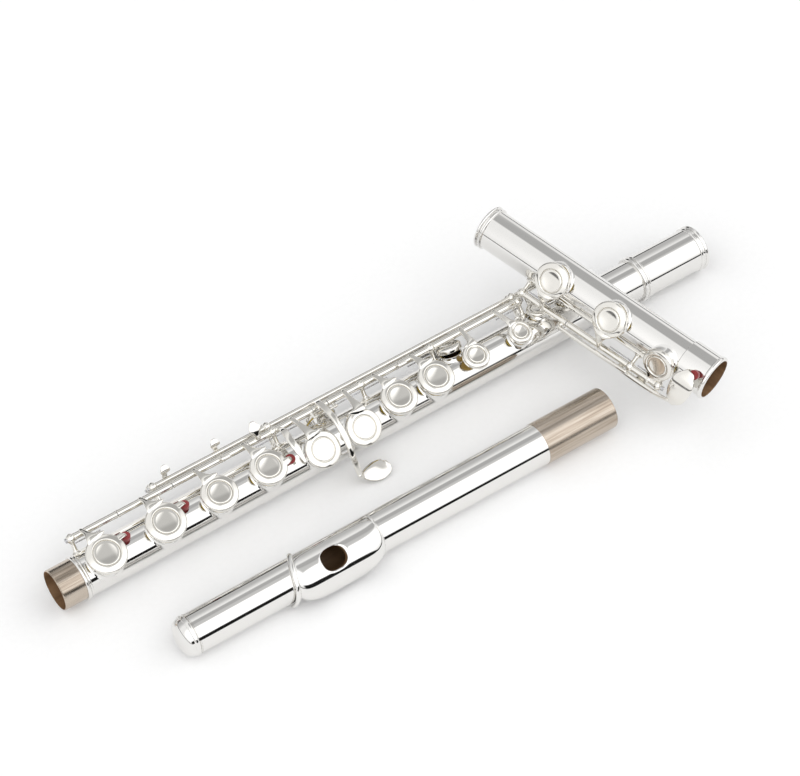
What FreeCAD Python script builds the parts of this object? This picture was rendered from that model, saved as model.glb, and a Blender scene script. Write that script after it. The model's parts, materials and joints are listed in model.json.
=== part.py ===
import FreeCAD, Part

import math
import os

from FreeCAD import Placement, Rotation, Vector

# Concert flute with a C foot, taken apart into its three sections: the body lies on its
# rings along +X, the head lies in front of it (-Y), and the foot lies across the body.
# Each section has its own frame: X runs along the tube, Z points out of the tone holes,
# and an angle on the tube is measured from Z towards -Y.

DIMENSIONS = {
    # tube stock and joints
    "tube_r": 9.9, "bore_r": 9.5, "hole_seat": 11.6,
    "body_len": 356.3, "body_tenon_len": 11.0, "body_tenon_r": 9.66, "tenon_play": 0.04,
    "shoulder_len": 3.0, "shoulder_r": 10.7,
    "barrel_len": 39.0, "barrel_r": 10.75, "barrel_ring_r": 11.4, "socket_r": 10.1,
    # where each section lies: position of its first end, turn about Z, pitch, roll about its tube
    "body_x": -193.75, "body_y": -16.5, "body_z": 11.4, "body_turn": 0.0, "body_roll": 23.4,
    "head_x": -156.98, "head_y": -68.88, "head_z": 10.07, "head_turn": -0.47, "head_roll": 36.5,
    "foot_x": 70.1, "foot_y": 27.8, "foot_z": 42.9, "foot_turn": -74.55, "foot_pitch": -6.0,
    "foot_roll": 50.8,
    "origin_x": -15.6, "origin_y": -35.35, "origin_z": 0.0,
    # tone hole centres along the body, from the tenon end
    "e_hole_x": 24.2, "f_hole_x": 54.2, "f_sharp_hole_x": 81.8, "g_hole_x": 107.4,
    "g_sharp_hole_x": 133.5, "a_hole_x": 155.7, "a_back_hole_x": 146.0, "b_flat_hole_x": 178.05,
    "b_hole_x": 198.6, "c_hole_x": 214.5, "c_touch_x": 221.1, "c_sharp_hole_x": 246.3,
    "d_hole_x": 263.0, "d_sharp_hole_x": 279.0,
    # angles of the holes that don't lie on the top line
    "g_angle": 20.5, "a_back_angle": -105.0, "c_hole_angle": -52.0, "trill_angle": -38.0,
    # padded cups
    "cup_r_large": 9.3, "cup_r_main": 8.6, "cup_r_touch": 6.5, "cup_r_small": 5.8, "cup_r_thumb": 6.5,
    "cup_len": 2.6, "small_cup_len": 1.9, "cup_wall": 0.85, "cup_roof": 0.8, "cup_lift": 0.3,
    "pad_gap": 0.06,
    "dish_depth": 0.35, "felt_r": 1.9, "chimney_wall": 0.9, "rim_cover": 1.5,
    # hinges
    "steel_r": 1.1, "steel_play": 0.05, "key_tube_r": 1.75, "arm_width": 3.6, "arm_thick": 1.3,
    "main_hinge_y": 15.2, "main_hinge_z": 8.5, "trill_tube_r": 1.45, "trill_steel_r": 0.8,
    "d_trill_y": 19.0, "d_trill_z": 5.2, "d_sharp_trill_y": 19.7, "d_sharp_trill_z": 1.1,
    "thumb_hinge_y": 8.7, "thumb_hinge_z": -10.4,
    "open_angle": 6.0, "thumb_open_angle": 5.5,
    "post_r": 1.25, "ball_r": 2.25, "spring_r": 0.3, "needle_len": 12.5,
    "needle_reach": 14.6, "rib_thick": 0.7,
    # head
    "head_len": 221.7, "head_tenon_start": 183.4, "head_tenon_r": 10.07, "head_tenon_in": 9.6,
    "head_small_r": 9.3, "head_bore_small_r": 8.7, "hole_x": 68.5, "mouth_a": 6.1, "mouth_b": 5.1,
    "plate_x": 72.0, "plate_y": -1.9, "plate_half_len": 24.0, "plate_half_width": 12.1, "plate_r": 13.2,
    "plate_thick": 1.2, "riser_wall": 1.2,
    "crown_r": 9.6, "crown_len": 7.6, "crown_skirt": 6.0, "crown_fit": 0.06, "rod_r": 2.0,
    "rod_start": -3.0,
    "cork_len": 16.0, "stopper_face": 17.3, "stopper_plate": 1.5,
    # foot
    "foot_len": 131.7, "foot_ring_r": 10.9, "foot_socket_r": 10.55, "foot_socket_ring_r": 11.1,
    "foot_socket_len": 15.0, "c_sharp_foot_x": 46.2, "d_foot_x": 79.3, "d_sharp_foot_x": 109.0,
    "d_sharp_foot_angle": 28.1, "foot_hinge_angle": 65.0, "foot_hinge_reach": 17.0,
    "foot_cup_r": 8.6, "foot_small_cup_r": 8.0,
}

doc = FreeCAD.newDocument("ConcertFlute")
sheet = doc.addObject("Spreadsheet::Sheet", "dims")
for row, (alias, value) in enumerate(DIMENSIONS.items(), 1):
    sheet.set(f"A{row}", alias)
    sheet.set(f"B{row}", str(value))
    sheet.setAlias(f"B{row}", alias)
doc.recompute()

X_AXIS = Vector(1, 0, 0)
TURN_TO_X = Rotation(Vector(0, 1, 0), 90)


def size(alias):
    return float(sheet.get(alias))


# ---- section frames -------------------------------------------------------------------------

def section_frame(name, pitch=0.0):
    base = Vector(size(name + "_x") - size("origin_x"),
                  size(name + "_y") - size("origin_y"),
                  size(name + "_z") - size("origin_z"))
    turn = Rotation(Vector(0, 0, 1), size(name + "_turn"))
    tilt = Rotation(Vector(0, 1, 0), -pitch)
    roll = Rotation(X_AXIS, size(name + "_roll"))
    return Placement(base, turn.multiply(tilt).multiply(roll))


BODY = section_frame("body")
HEAD = section_frame("head")
FOOT = section_frame("foot", size("foot_pitch"))


def turned_about(point, degrees):
    """Placement that turns about a line along X through a point of the section's frame."""
    return Placement(Vector(0, 0, 0), Rotation(X_AXIS, degrees), point)


# ---- building blocks ------------------------------------------------------------------------

def spot(x, reach, angle):
    """The point at a distance from the tube's axis, at an angle on the tube."""
    a = math.radians(angle)
    return Vector(x, -reach * math.sin(a), reach * math.cos(a))


def angle_of(point):
    """The angle on the tube at which a point lies."""
    return math.degrees(math.atan2(-point.y, point.z))


def out_of_tube(x, reach, angle):
    """A placement whose Z leaves the tube's axis at an angle."""
    return Placement(spot(x, reach, angle), Rotation(X_AXIS, angle))


def along_x(x, y=0.0, z=0.0):
    return Placement(Vector(x, y, z), TURN_TO_X)


def solid(kind, place, **formulas):
    piece = doc.addObject("Part::" + kind, "Piece")
    for prop, formula in formulas.items():
        piece.setExpression(prop, str(formula))
    piece.Placement = place
    return piece


def cylinder(place, radius, length):
    return solid("Cylinder", place, Radius=radius, Height=length)


def fuse(pieces):
    if len(pieces) == 1:
        return pieces[0]
    joined = doc.addObject("Part::MultiFuse", "Joined")
    joined.Shapes = pieces
    return joined


def cut(base, tools):
    result = doc.addObject("Part::Cut", "Trimmed")
    result.Base = base
    result.Tool = fuse(tools)
    return result


def common(first, second):
    result = doc.addObject("Part::Common", "Shared")
    result.Base = first
    result.Tool = second
    return result


def ring(x, outer, inner, length):
    return cut(cylinder(along_x(x), outer, length), [cylinder(along_x(x - 1), inner, f"{length} + 2")])


def strap(points, width, thick, across=None):
    """A flat bar along a line of points: it lies flat on the tube, or flat across a given side."""
    pieces = []
    for start, end in zip(points, points[1:]):
        run = end - start
        length = run.Length
        middle = (start + end) / 2
        side = across
        if side is None:
            round_tube = abs(run.x) < 0.9 * length
            side = X_AXIS if round_tube else Vector(0, middle.y, middle.z).cross(run)
        turn = Rotation(side, Vector(), run, "ZXY")
        corner = turn.multVec(Vector(-width / 2, -thick / 2, 0))
        pieces.append(solid("Box", Placement(start + corner, turn),
                            Length=width, Width=thick, Height=length))
        knuckle = turn.multVec(Vector(-width / 2, 0, 0))
        pieces.append(cylinder(Placement(end + knuckle, turn.multiply(Rotation(Vector(0, 1, 0), 90))),
                               thick / 2, width))
    return pieces


nodes = []


def node(label, piece, place):
    piece.Label = label
    piece.Placement = place.multiply(piece.Placement)
    nodes.append(piece)
    return piece


# ---- cups, pads and hinge tubes -------------------------------------------------------------

def cup_bottom():
    return size("hole_seat") + size("cup_lift")


def cup_hollow(x, angle, radius, drop=0.0, depth="cup_len"):
    return cylinder(out_of_tube(x, cup_bottom() - drop - 1, angle), f"{radius} - dims.cup_wall",
                    f"dims.{depth} - dims.cup_roof + 1")


def cup(x, angle, radius, drop=0.0, depth="cup_len"):
    """A padded cup, closed on its hole: a disc with a shallow dish on top, hollow below."""
    bottom = cup_bottom() - drop
    disc = cylinder(out_of_tube(x, bottom, angle), radius, f"dims.{depth}")
    hollow = cup_hollow(x, angle, radius, drop, depth)
    top = bottom + size(depth)
    dish = cylinder(out_of_tube(x, top - size("dish_depth"), angle), f"{radius} * 0.62", 2)
    return cut(disc, [hollow, dish])


def pad(x, angle, radius, drop=0.0, depth="cup_len"):
    bottom = size("hole_seat") + size("pad_gap") - drop
    length = f"dims.cup_lift - dims.pad_gap + dims.{depth} - dims.cup_roof"
    return cylinder(out_of_tube(x, bottom, angle), f"{radius} - dims.cup_wall", length)


def hinge_tube(start, end, hinge, radius="dims.key_tube_r"):
    return cylinder(along_x(start, hinge.y, hinge.z), radius, end - start)


def hinge_bore(hinge, radius="dims.steel_r + dims.steel_play"):
    return cylinder(along_x(0, hinge.y, hinge.z), radius, "dims.body_len")


def arm(x, hinge, angle, radius, drop=0.0, depth="cup_len"):
    """The bar from a hinge tube to the nearer rim of a cup."""
    reach = cup_bottom() + size(depth) - size("arm_thick") - drop
    side = -1.0 if hinge.y > spot(0, reach, angle).y else 1.0
    inset = (radius - 0.6) * side
    a = math.radians(angle)
    rim = spot(x, reach, angle) + Vector(0, -math.cos(a) * inset, -math.sin(a) * inset)
    return strap([Vector(x, hinge.y, hinge.z), rim], size("arm_width"), size("arm_thick"))


MAIN = Vector(0, size("main_hinge_y"), size("main_hinge_z"))
D_TRILL = Vector(0, size("d_trill_y"), size("d_trill_z"))
D_SHARP_TRILL = Vector(0, size("d_sharp_trill_y"), size("d_sharp_trill_z"))
THUMB = Vector(0, size("thumb_hinge_y"), size("thumb_hinge_z"))
FOOT_HINGE = spot(0, size("foot_hinge_reach"), size("foot_hinge_angle"))


# ---- head -----------------------------------------------------------------------------------

def oval_column(x, y, half_length, half_width):
    """An oval column that stands on the tube's axis and rises past everything on the head."""
    outline = solid("Ellipse", Placement(Vector(x, y, 0), Rotation()), MajorRadius=half_length,
                    MinorRadius=half_width)
    column = doc.addObject("Part::Extrusion", "Oval")
    column.Base = outline
    column.DirMode = "Custom"
    column.Dir = Vector(0, 0, 1)
    column.LengthFwd = 25
    column.Solid = True
    return column


def mouth_hole(extra):
    """The oval mouth hole, widened all round."""
    return oval_column(size("hole_x"), 0, f"dims.mouth_a + {extra}", f"dims.mouth_b + {extra}")


def build_head():
    taper = solid("Cone", along_x(0), Radius1="dims.head_small_r", Radius2="dims.tube_r",
                  Height="dims.head_tenon_start")
    bore = solid("Cone", along_x(-0.5), Radius1="dims.head_bore_small_r", Radius2="dims.bore_r",
                 Height="dims.head_len + 0.5")
    inner_end = cylinder(along_x(size("head_tenon_start") - 0.5), "dims.head_tenon_in",
                         "dims.head_len - dims.head_tenon_start + 0.5")
    tube = cut(fuse([taper, inner_end]), [bore, mouth_hole(0)])
    node("head_tube", tube, HEAD)
    sleeve = ring(size("head_tenon_start"), "dims.head_tenon_r", "dims.head_tenon_in",
                  "dims.head_len - dims.head_tenon_start")
    node("head_tenon", sleeve, HEAD)

    # the riser stands on the tube; the lip plate is a curved oval shell on top of the riser
    plate_axis = along_x(20, size("plate_y"))
    under_plate = cylinder(plate_axis, "dims.plate_r - dims.plate_thick", 100)
    column = common(mouth_hole(size("riser_wall")), under_plate)
    riser = cut(column, [cylinder(along_x(19), "dims.tube_r", 102), mouth_hole(0)])
    node("lip_riser", riser, HEAD)
    outline = oval_column(size("plate_x"), size("plate_y"), "dims.plate_half_len", "dims.plate_half_width")
    shell = common(outline, cylinder(plate_axis, "dims.plate_r", 100))
    inside = cylinder(plate_axis, "dims.plate_r - dims.plate_thick", 100)
    plate = cut(shell, [inside, mouth_hole(0)])
    node("lip_plate", plate, HEAD)

    # crown: a domed cap whose skirt turns inside the tube, on the stopper's rod
    cap = cylinder(along_x(-3.0), "dims.crown_r", 3)
    ball = solid("Ellipsoid", along_x(-3.0), Radius1="dims.crown_len - 3", Radius2="dims.crown_r - 0.5",
                 Radius3="dims.crown_r - 0.5")
    dome = common(ball, cylinder(along_x(-12), "dims.crown_r", 9.5))
    skirt = cylinder(along_x(0), "dims.head_bore_small_r - dims.crown_fit - 0.1", "dims.crown_skirt")
    rod_hole = cylinder(along_x(size("rod_start") - 1.6), "dims.rod_r + dims.crown_fit", 20)
    node("crown", cut(fuse([dome, cap, skirt]), [rod_hole]), HEAD)

    # stopper: a rod that passes through the cork, with a plate at each end of the cork
    face = size("hole_x") - size("stopper_face")
    cork_start = face - size("stopper_plate") - size("cork_len")
    rod = cylinder(along_x(size("rod_start")), "dims.rod_r", face - size("rod_start"))
    front = cylinder(along_x(face - size("stopper_plate")), "dims.head_bore_small_r - 0.2",
                     "dims.stopper_plate")
    back = cylinder(along_x(cork_start - size("stopper_plate")), "dims.head_bore_small_r - 0.4",
                    "dims.stopper_plate")
    node("stopper_rod", fuse([rod, front, back]), HEAD)
    cork = ring(cork_start, "dims.head_bore_small_r - 0.1", "dims.rod_r", "dims.cork_len")
    node("stopper_cork", cork, HEAD)


# ---- tubes with drawn tone holes ------------------------------------------------------------

def drawn_tube(start, length, holes, drops=()):
    """A tube with a short chimney, ground flat on top, round each tone hole."""
    drops = dict(drops)
    outer = [cylinder(along_x(start), "dims.tube_r", length)]
    inner = [cylinder(along_x(start - 1), "dims.bore_r", length + 2)]
    for x, angle, cup_r in holes:
        seat = size("hole_seat") - drops.get(x, 0.0)
        radius = cup_r - size("rim_cover")
        outer.append(cylinder(out_of_tube(x, 0, angle), radius, seat))
        inner.append(cylinder(out_of_tube(x, 0, angle), radius - size("chimney_wall"), seat + 2))
    return cut(fuse(outer), inner)


# how much lower the small tone holes end than the others
THUMB_DROP = 0.4
TRILL_DROP = 0.7

# keys with a bumper felt, and the felt's angle on the tube
STOPPED_KEYS = {"d_key": -18.5, "e_key": -18.5, "f_sharp_key": 5.0}
FELT_OUT = 2.5

TOP_KEYS = [("d_key", "e_hole_x", "cup_r_large"), ("e_key", "f_hole_x", "cup_r_large"),
            ("f_key", "f_sharp_hole_x", "cup_r_main"), ("f_sharp_key", "g_hole_x", "cup_r_main"),
            ("a_key", "b_flat_hole_x", "cup_r_main"), ("b_flat_key", "b_hole_x", "cup_r_main")]

# posts along each hinge line, and the hinge tubes that turn between them
MAIN_POSTS = [15.6, 119.8, 167.6, 206.3, 256.6]
TRILL_POSTS = [60.0, 119.8, 256.6, 287.0]
THUMB_POSTS = [203.5, 225.5]
FOOT_POSTS = [33.9, 96.6, 112.6]
KEY_SPANS = {"d_key": (17.1, 38.7), "e_key": (39.0, 66.7), "f_key": (67.0, 92.7),
             "f_sharp_key": (93.0, 106.6), "b_flat_lever": (106.9, 118.3), "lower_g_key": (121.3, 140.9),
             "g_sharp_key": (141.2, 149.0), "upper_g_key": (149.3, 166.1), "a_key": (169.1, 188.0),
             "b_flat_key": (188.3, 204.8), "c_key": (207.8, 255.1), "thumb_key": (204.9, 224.1),
             "foot_c_key": (35.3, 60.0), "foot_c_sharp_key": (60.3, 95.2), "foot_d_sharp_key": (98.0, 111.2)}
STEEL_END = 2.6

# the post that each needle spring is set in, and the way that it points
BODY_SPRINGS = [(15.6, 1), (119.8, -1), (119.8, 1), (167.6, -1), (167.6, 1), (206.3, -1), (256.6, -1)]
FOOT_SPRINGS = [(33.9, 1), (96.6, -1), (112.6, -1)]


def body_holes():
    holes = [(size(x), 0.0, size(r)) for _, x, r in TOP_KEYS]
    holes += [(size("g_sharp_hole_x"), size("g_angle"), size("cup_r_main")),
              (size("a_hole_x"), size("g_angle"), size("cup_r_main")),
              (size("a_back_hole_x"), size("a_back_angle"), size("cup_r_main")),
              (size("c_hole_x"), size("c_hole_angle"), size("cup_r_thumb")),
              (size("c_sharp_hole_x"), 0.0, size("cup_r_small")),
              (size("d_hole_x"), size("trill_angle"), size("cup_r_small")),
              (size("d_sharp_hole_x"), size("trill_angle"), size("cup_r_small"))]
    return holes


def post(x, hinge, bore):
    """A ball-topped post from the tube's wall to a hinge line, and the bore for its steel."""
    reach = math.hypot(hinge.y, hinge.z)
    angle = angle_of(hinge)
    foot = size("tube_r") + size("rib_thick")
    stem = cylinder(out_of_tube(x, foot, angle), "dims.post_r", reach - foot)
    ball = common(solid("Sphere", out_of_tube(x, reach, angle), Radius="dims.ball_r"),
                  cylinder(along_x(x - 1.2, hinge.y, hinge.z), "dims.ball_r", 2.4))
    return fuse([stem, ball]), cylinder(along_x(x - 5, hinge.y, hinge.z), bore, 10)


def steel(posts, hinge, radius="dims.steel_r"):
    """A hinge steel from just outside the first post to just outside the last."""
    start = posts[0] - STEEL_END
    return cylinder(along_x(start, hinge.y, hinge.z), radius, posts[-1] + STEEL_END - start)


def rib(start, end, angle, width=4.0):
    """A strap soldered along the tube, that the posts stand on."""
    shell = cut(cylinder(along_x(start), "dims.tube_r + dims.rib_thick", end - start),
                [cylinder(along_x(start - 1), "dims.tube_r", end - start + 2)])
    block = solid("Box", Placement(spot(start, 5, angle), Rotation(X_AXIS, angle)),
                  Length=end - start, Width=width, Height=10)
    block.Placement = block.Placement.multiply(Placement(Vector(0, -width / 2, 0), Rotation()))
    return common(shell, block)


def chimney_clearance(holes):
    """Room in a rib or a post for the chimneys beside it."""
    return [cylinder(out_of_tube(x, 0, angle), cup_r - size("rim_cover") + 0.1, 20)
            for x, angle, cup_r in holes]


def needle(x, way, angle):
    """A needle spring that runs from a post, under the hinge tube beside it."""
    start = x + size("post_r") if way > 0 else x - size("post_r") - size("needle_len")
    place = Placement(spot(start, size("needle_reach"), angle), TURN_TO_X)
    return cylinder(place, "dims.spring_r", "dims.needle_len")


def build_body():
    tenon_end = size("body_tenon_len")
    tube = drawn_tube(tenon_end, size("body_len") - tenon_end - size("barrel_len"), body_holes(),
                      {size("c_hole_x"): THUMB_DROP, size("d_hole_x"): TRILL_DROP,
                       size("d_sharp_hole_x"): TRILL_DROP})
    node("body_tube", tube, BODY)
    tenon = ring(0, "dims.body_tenon_r", "dims.bore_r - 0.5", tenon_end)
    node("body_tenon", tenon, BODY)
    node("shoulder_ring", ring(tenon_end, "dims.shoulder_r", "dims.tube_r", "dims.shoulder_len"), BODY)

    start = size("body_len") - size("barrel_len")
    sleeve = [cylinder(along_x(start), "dims.barrel_r", "dims.barrel_len")]
    end = size("body_len")
    for x, wide in ((start, 1.6), (start + 2.2, 1.4), (end - 4.4, 1.4), (end - 2, 2)):
        sleeve.append(cylinder(along_x(x), "dims.barrel_ring_r", wide))
    barrel = cut(fuse(sleeve), [cylinder(along_x(start + 1), "dims.socket_r", 40),
                                cylinder(along_x(start - 1), "dims.bore_r", 5)])
    node("barrel", barrel, BODY)

    main_angle = angle_of(MAIN)
    trill_angle = angle_of(D_TRILL)
    sharp_angle = angle_of(D_SHARP_TRILL)
    ribs = [rib(14.1, 136.0, main_angle), rib(57.5, 124.0, trill_angle, 3.4)]
    ribs += [rib(57.5, 124.0, sharp_angle, 3.4)]
    ribs += [rib(164.4, 209.0, main_angle), rib(254.4, 290.0, trill_angle, 3.4)]
    ribs += [rib(254.4, 290.0, sharp_angle, 3.4), rib(254.4, 259.0, main_angle)]
    node("ribs", cut(fuse(ribs), chimney_clearance(body_holes())), BODY)

    # the trill tubes pass through their two inner posts, and every other post holds a steel
    standing = [post(x, MAIN, "dims.steel_r") for x in MAIN_POSTS]
    standing += [post(x, THUMB, "dims.steel_r") for x in THUMB_POSTS]
    for x in TRILL_POSTS:
        outer_post = x in (TRILL_POSTS[0], TRILL_POSTS[-1])
        guide = "dims.trill_steel_r" if outer_post else "dims.trill_tube_r + 0.08"
        standing += [post(x, hinge, guide) for hinge in (D_TRILL, D_SHARP_TRILL)]
    stems, bores = zip(*standing)
    node("posts", cut(fuse(list(stems)), list(bores)), BODY)

    steels = [steel(MAIN_POSTS, MAIN), steel(THUMB_POSTS, THUMB)]
    steels += [steel(TRILL_POSTS, hinge, "dims.trill_steel_r") for hinge in (D_TRILL, D_SHARP_TRILL)]
    node("hinge_steels", fuse(steels), BODY)
    node("needle_springs", fuse([needle(x, way, main_angle) for x, way in BODY_SPRINGS]), BODY)


def key(label, x, angle, cup_r, span, hinge, opening, place, extras=(), drop=0.0, depth="cup_len",
        arm_shift=-3.0, bore="dims.steel_r + dims.steel_play", tube="dims.key_tube_r", hollows=()):
    """One padded key: hinge tube, arm and cup in one casting, and its pad."""
    pivot = turned_about(hinge, opening)
    pieces = [hinge_tube(span[0], span[1], hinge, tube), cup(x, angle, cup_r, drop, depth)]
    pieces += arm(x + arm_shift, hinge, angle, math.sqrt(cup_r ** 2 - arm_shift ** 2), drop, depth)
    rooms = [hinge_bore(hinge, bore), cup_hollow(x, angle, cup_r, drop, depth)]
    node(label, cut(fuse(pieces + list(extras)), rooms + list(hollows)), place.multiply(pivot))
    node(label.replace("_key", "_pad"), pad(x, angle, cup_r, drop, depth), place.multiply(pivot))


def clutch(x, reach):
    """A finger on one key's tube that lies over the lug of the key beside it."""
    return strap([Vector(x, MAIN.y, MAIN.z), Vector(x, 13.6, 11.9), Vector(x + reach, 13.6, 11.9)], 1.6, 1.1)


def lug(x):
    return strap([Vector(x, MAIN.y, MAIN.z), Vector(x, 13.6, 10.4)], 1.6, 1.0)


def stop_tab(x, cup_r, angle):
    """The tab beside a cup that carries its bumper felt."""
    return strap([spot(x + cup_r - 1.5, 14.0, angle + 3), spot(x + cup_r + 1.2, 13.6, angle + 1),
                  spot(x + cup_r + FELT_OUT + 0.8, 12.8, angle)], 3.2, 1.0)


def bumper(label, x, cup_r, angle, opened):
    base = size("tube_r") + 0.15
    felt = cylinder(out_of_tube(x + cup_r + FELT_OUT, base, angle), "dims.felt_r", 11.95 - base)
    node(label, felt, BODY.multiply(turned_about(MAIN, opened)))


def build_body_keys():
    opened = -size("open_angle")
    fittings = {"f_key": clutch(91.5, 4.5), "f_sharp_key": lug(96.2), "a_key": clutch(186.8, 4.5),
                "b_flat_key": lug(191.4)}
    for label, x, radius in TOP_KEYS:
        extras = list(fittings.get(label, []))
        if label in STOPPED_KEYS:
            angle = STOPPED_KEYS[label]
            extras += stop_tab(size(x), size(radius), angle)
            bumper(label.replace("_key", "_felt"), size(x), size(radius), angle, opened)
        key(label, size(x), 0.0, size(radius), KEY_SPANS[label], MAIN, opened, BODY, extras=extras)

    # the two offset G keys are joined by a bar that passes under the G sharp lever, and the
    # lower one carries the curved finger of the split-E linkage
    bar = strap([Vector(139.8, MAIN.y, MAIN.z), Vector(139.8, 11.5, 9.9), Vector(152.0, 11.5, 9.9)],
                1.6, 1.1)
    linkage = strap([Vector(122.8, MAIN.y, MAIN.z), spot(122.6, 18.0, -34), spot(122.6, 16.6, -10),
                     spot(122.8, 15.6, 10), spot(123.2, 15.0, 26)], 2.2, 1.1)
    key("lower_g_key", size("g_sharp_hole_x"), size("g_angle"), size("cup_r_main"),
        KEY_SPANS["lower_g_key"], MAIN, opened, BODY, extras=bar + linkage, arm_shift=-3.0)
    catch = strap([Vector(151.6, MAIN.y, MAIN.z), Vector(151.6, 11.5, 8.4)], 1.6, 1.0)
    key("upper_g_key", size("a_hole_x"), size("g_angle"), size("cup_r_main"),
        KEY_SPANS["upper_g_key"], MAIN, opened, BODY, extras=catch, arm_shift=3.0)

    # the G sharp key is a see-saw: touch in front, cup behind, hinge between
    x = 144.7
    lever = [Vector(x, MAIN.y, MAIN.z), spot(x, 20.2, -57), spot(x, 18.6, -20), spot(x, 17.6, 20),
             spot(x, 18.2, 55), spot(x + 1.5, 20.5, 84)]
    spoon = strap([spot(x + 0.5, 20.5, 84), Vector(x + 3.0, -21.0, 1.3)], 4.0, 1.4)
    spoon += strap([Vector(x + 2.5, -21.6, 1.2), Vector(x + 16.5, -21.8, 1.2)], 8.6, 1.4, Vector(0, 1, 0))
    key("g_sharp_key", size("a_back_hole_x"), size("a_back_angle"), size("cup_r_main"),
        KEY_SPANS["g_sharp_key"], MAIN, 0.0, BODY, extras=strap(lever, 3.0, 1.5) + spoon, arm_shift=-1.0)

    # the C key: index-finger touch and the small C sharp cup on one tube
    touch = cup(size("c_touch_x"), 0.0, size("cup_r_touch"))
    touch_arm = arm(224.0, MAIN, 0.0, 5.8)
    touch_room = cup_hollow(size("c_touch_x"), 0.0, size("cup_r_touch"))
    key("c_key", size("c_sharp_hole_x"), 0.0, size("cup_r_small"), KEY_SPANS["c_key"], MAIN, opened, BODY,
        extras=[touch] + touch_arm, hollows=[touch_room])
    rest = cylinder(out_of_tube(size("c_touch_x"), cup_bottom() - 0.6, 0), "dims.cup_r_touch - dims.cup_wall",
                    2.35)
    node("c_touch_felt", rest, BODY.multiply(turned_about(MAIN, opened)))

    # thumb key: hinge under the tube, cup behind the top line, and a thumb plate below
    x = size("c_hole_x")
    wrap = strap([Vector(x, THUMB.y, THUMB.z), spot(x, 15.6, -122), spot(x, 15.6, -95), spot(x, 14.4, -80)],
                 3.4, 1.3)
    plate = strap([spot(x - 4, 16.2, -118), spot(x - 4, 16.6, -100)], 12.0, 1.2)
    pivot = turned_about(THUMB, -size("thumb_open_angle"))
    pieces = [hinge_tube(*KEY_SPANS["thumb_key"], THUMB),
              cup(x, size("c_hole_angle"), size("cup_r_thumb"), THUMB_DROP)]
    body = cut(fuse(pieces + wrap + plate), [hinge_bore(THUMB)])
    node("thumb_key", body, BODY.multiply(pivot))
    node("thumb_pad", pad(x, size("c_hole_angle"), size("cup_r_thumb"), THUMB_DROP), BODY.multiply(pivot))

    # trill keys: a long tube from the touch, behind the rods, to a small closed cup near the barrel
    for label, x, hinge, touch_x in (("d_trill_key", "d_hole_x", D_TRILL, 94.0),
                                     ("d_sharp_trill_key", "d_sharp_hole_x", D_SHARP_TRILL, 68.0)):
        paddle = strap([Vector(touch_x, hinge.y, hinge.z), Vector(touch_x, 22.4, 4.6),
                        Vector(touch_x, 22.2, 8.4), Vector(touch_x, 24.2, 9.2)], 5.0, 1.2)
        key(label, size(x), size("trill_angle"), size("cup_r_small"), (61.4, 285.6), hinge, 0.0, BODY,
            extras=paddle, drop=TRILL_DROP, depth="small_cup_len", arm_shift=0.0,
            bore="dims.trill_steel_r + dims.steel_play", tube="dims.trill_tube_r")

    # B flat lever: a side touch for the right index finger, behind the F sharp cup
    paddle = strap([Vector(112.0, MAIN.y, MAIN.z), Vector(112.0, 18.6, 12.2), Vector(112.0, 21.8, 13.3)],
                   6.0, 1.3)
    tube = hinge_tube(*KEY_SPANS["b_flat_lever"], MAIN)
    node("b_flat_lever", cut(fuse([tube] + paddle), [hinge_bore(MAIN)]), BODY)


def build_foot():
    holes = [(size("c_sharp_foot_x"), 0.0, size("foot_cup_r")), (size("d_foot_x"), 0.0, size("foot_cup_r")),
             (size("d_sharp_foot_x"), size("d_sharp_foot_angle"), size("foot_small_cup_r"))]
    length = size("foot_len") - size("foot_socket_len")
    node("foot_tube", drawn_tube(0, length, holes), FOOT)
    rings = []
    for x, wide in ((0, 1.6), (2.4, 1.4)):
        rings.append(ring(x, "dims.foot_ring_r", "dims.tube_r", wide))
    node("foot_end_rings", fuse(rings), FOOT)
    sleeve = [cylinder(along_x(length - 1), "dims.foot_socket_r", "dims.foot_socket_len + 1"),
              cylinder(along_x(size("foot_len") - 2), "dims.foot_socket_ring_r", 2)]
    socket = cut(fuse(sleeve), [cylinder(along_x(length), "dims.body_tenon_r + dims.tenon_play", 20),
                                cylinder(along_x(length - 3), "dims.tube_r", 3)])
    node("foot_socket", socket, FOOT)

    angle = size("foot_hinge_angle")
    node("foot_rib", cut(rib(31.6, 115.0, angle, 4.4), chimney_clearance(holes)), FOOT)
    stems, bores = zip(*[post(x, FOOT_HINGE, "dims.steel_r") for x in FOOT_POSTS])
    node("foot_posts", cut(fuse(list(stems)), list(bores) + chimney_clearance(holes)), FOOT)
    node("foot_steel", steel(FOOT_POSTS, FOOT_HINGE), FOOT)
    node("foot_springs", fuse([needle(x, way, angle) for x, way in FOOT_SPRINGS]), FOOT)


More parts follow.
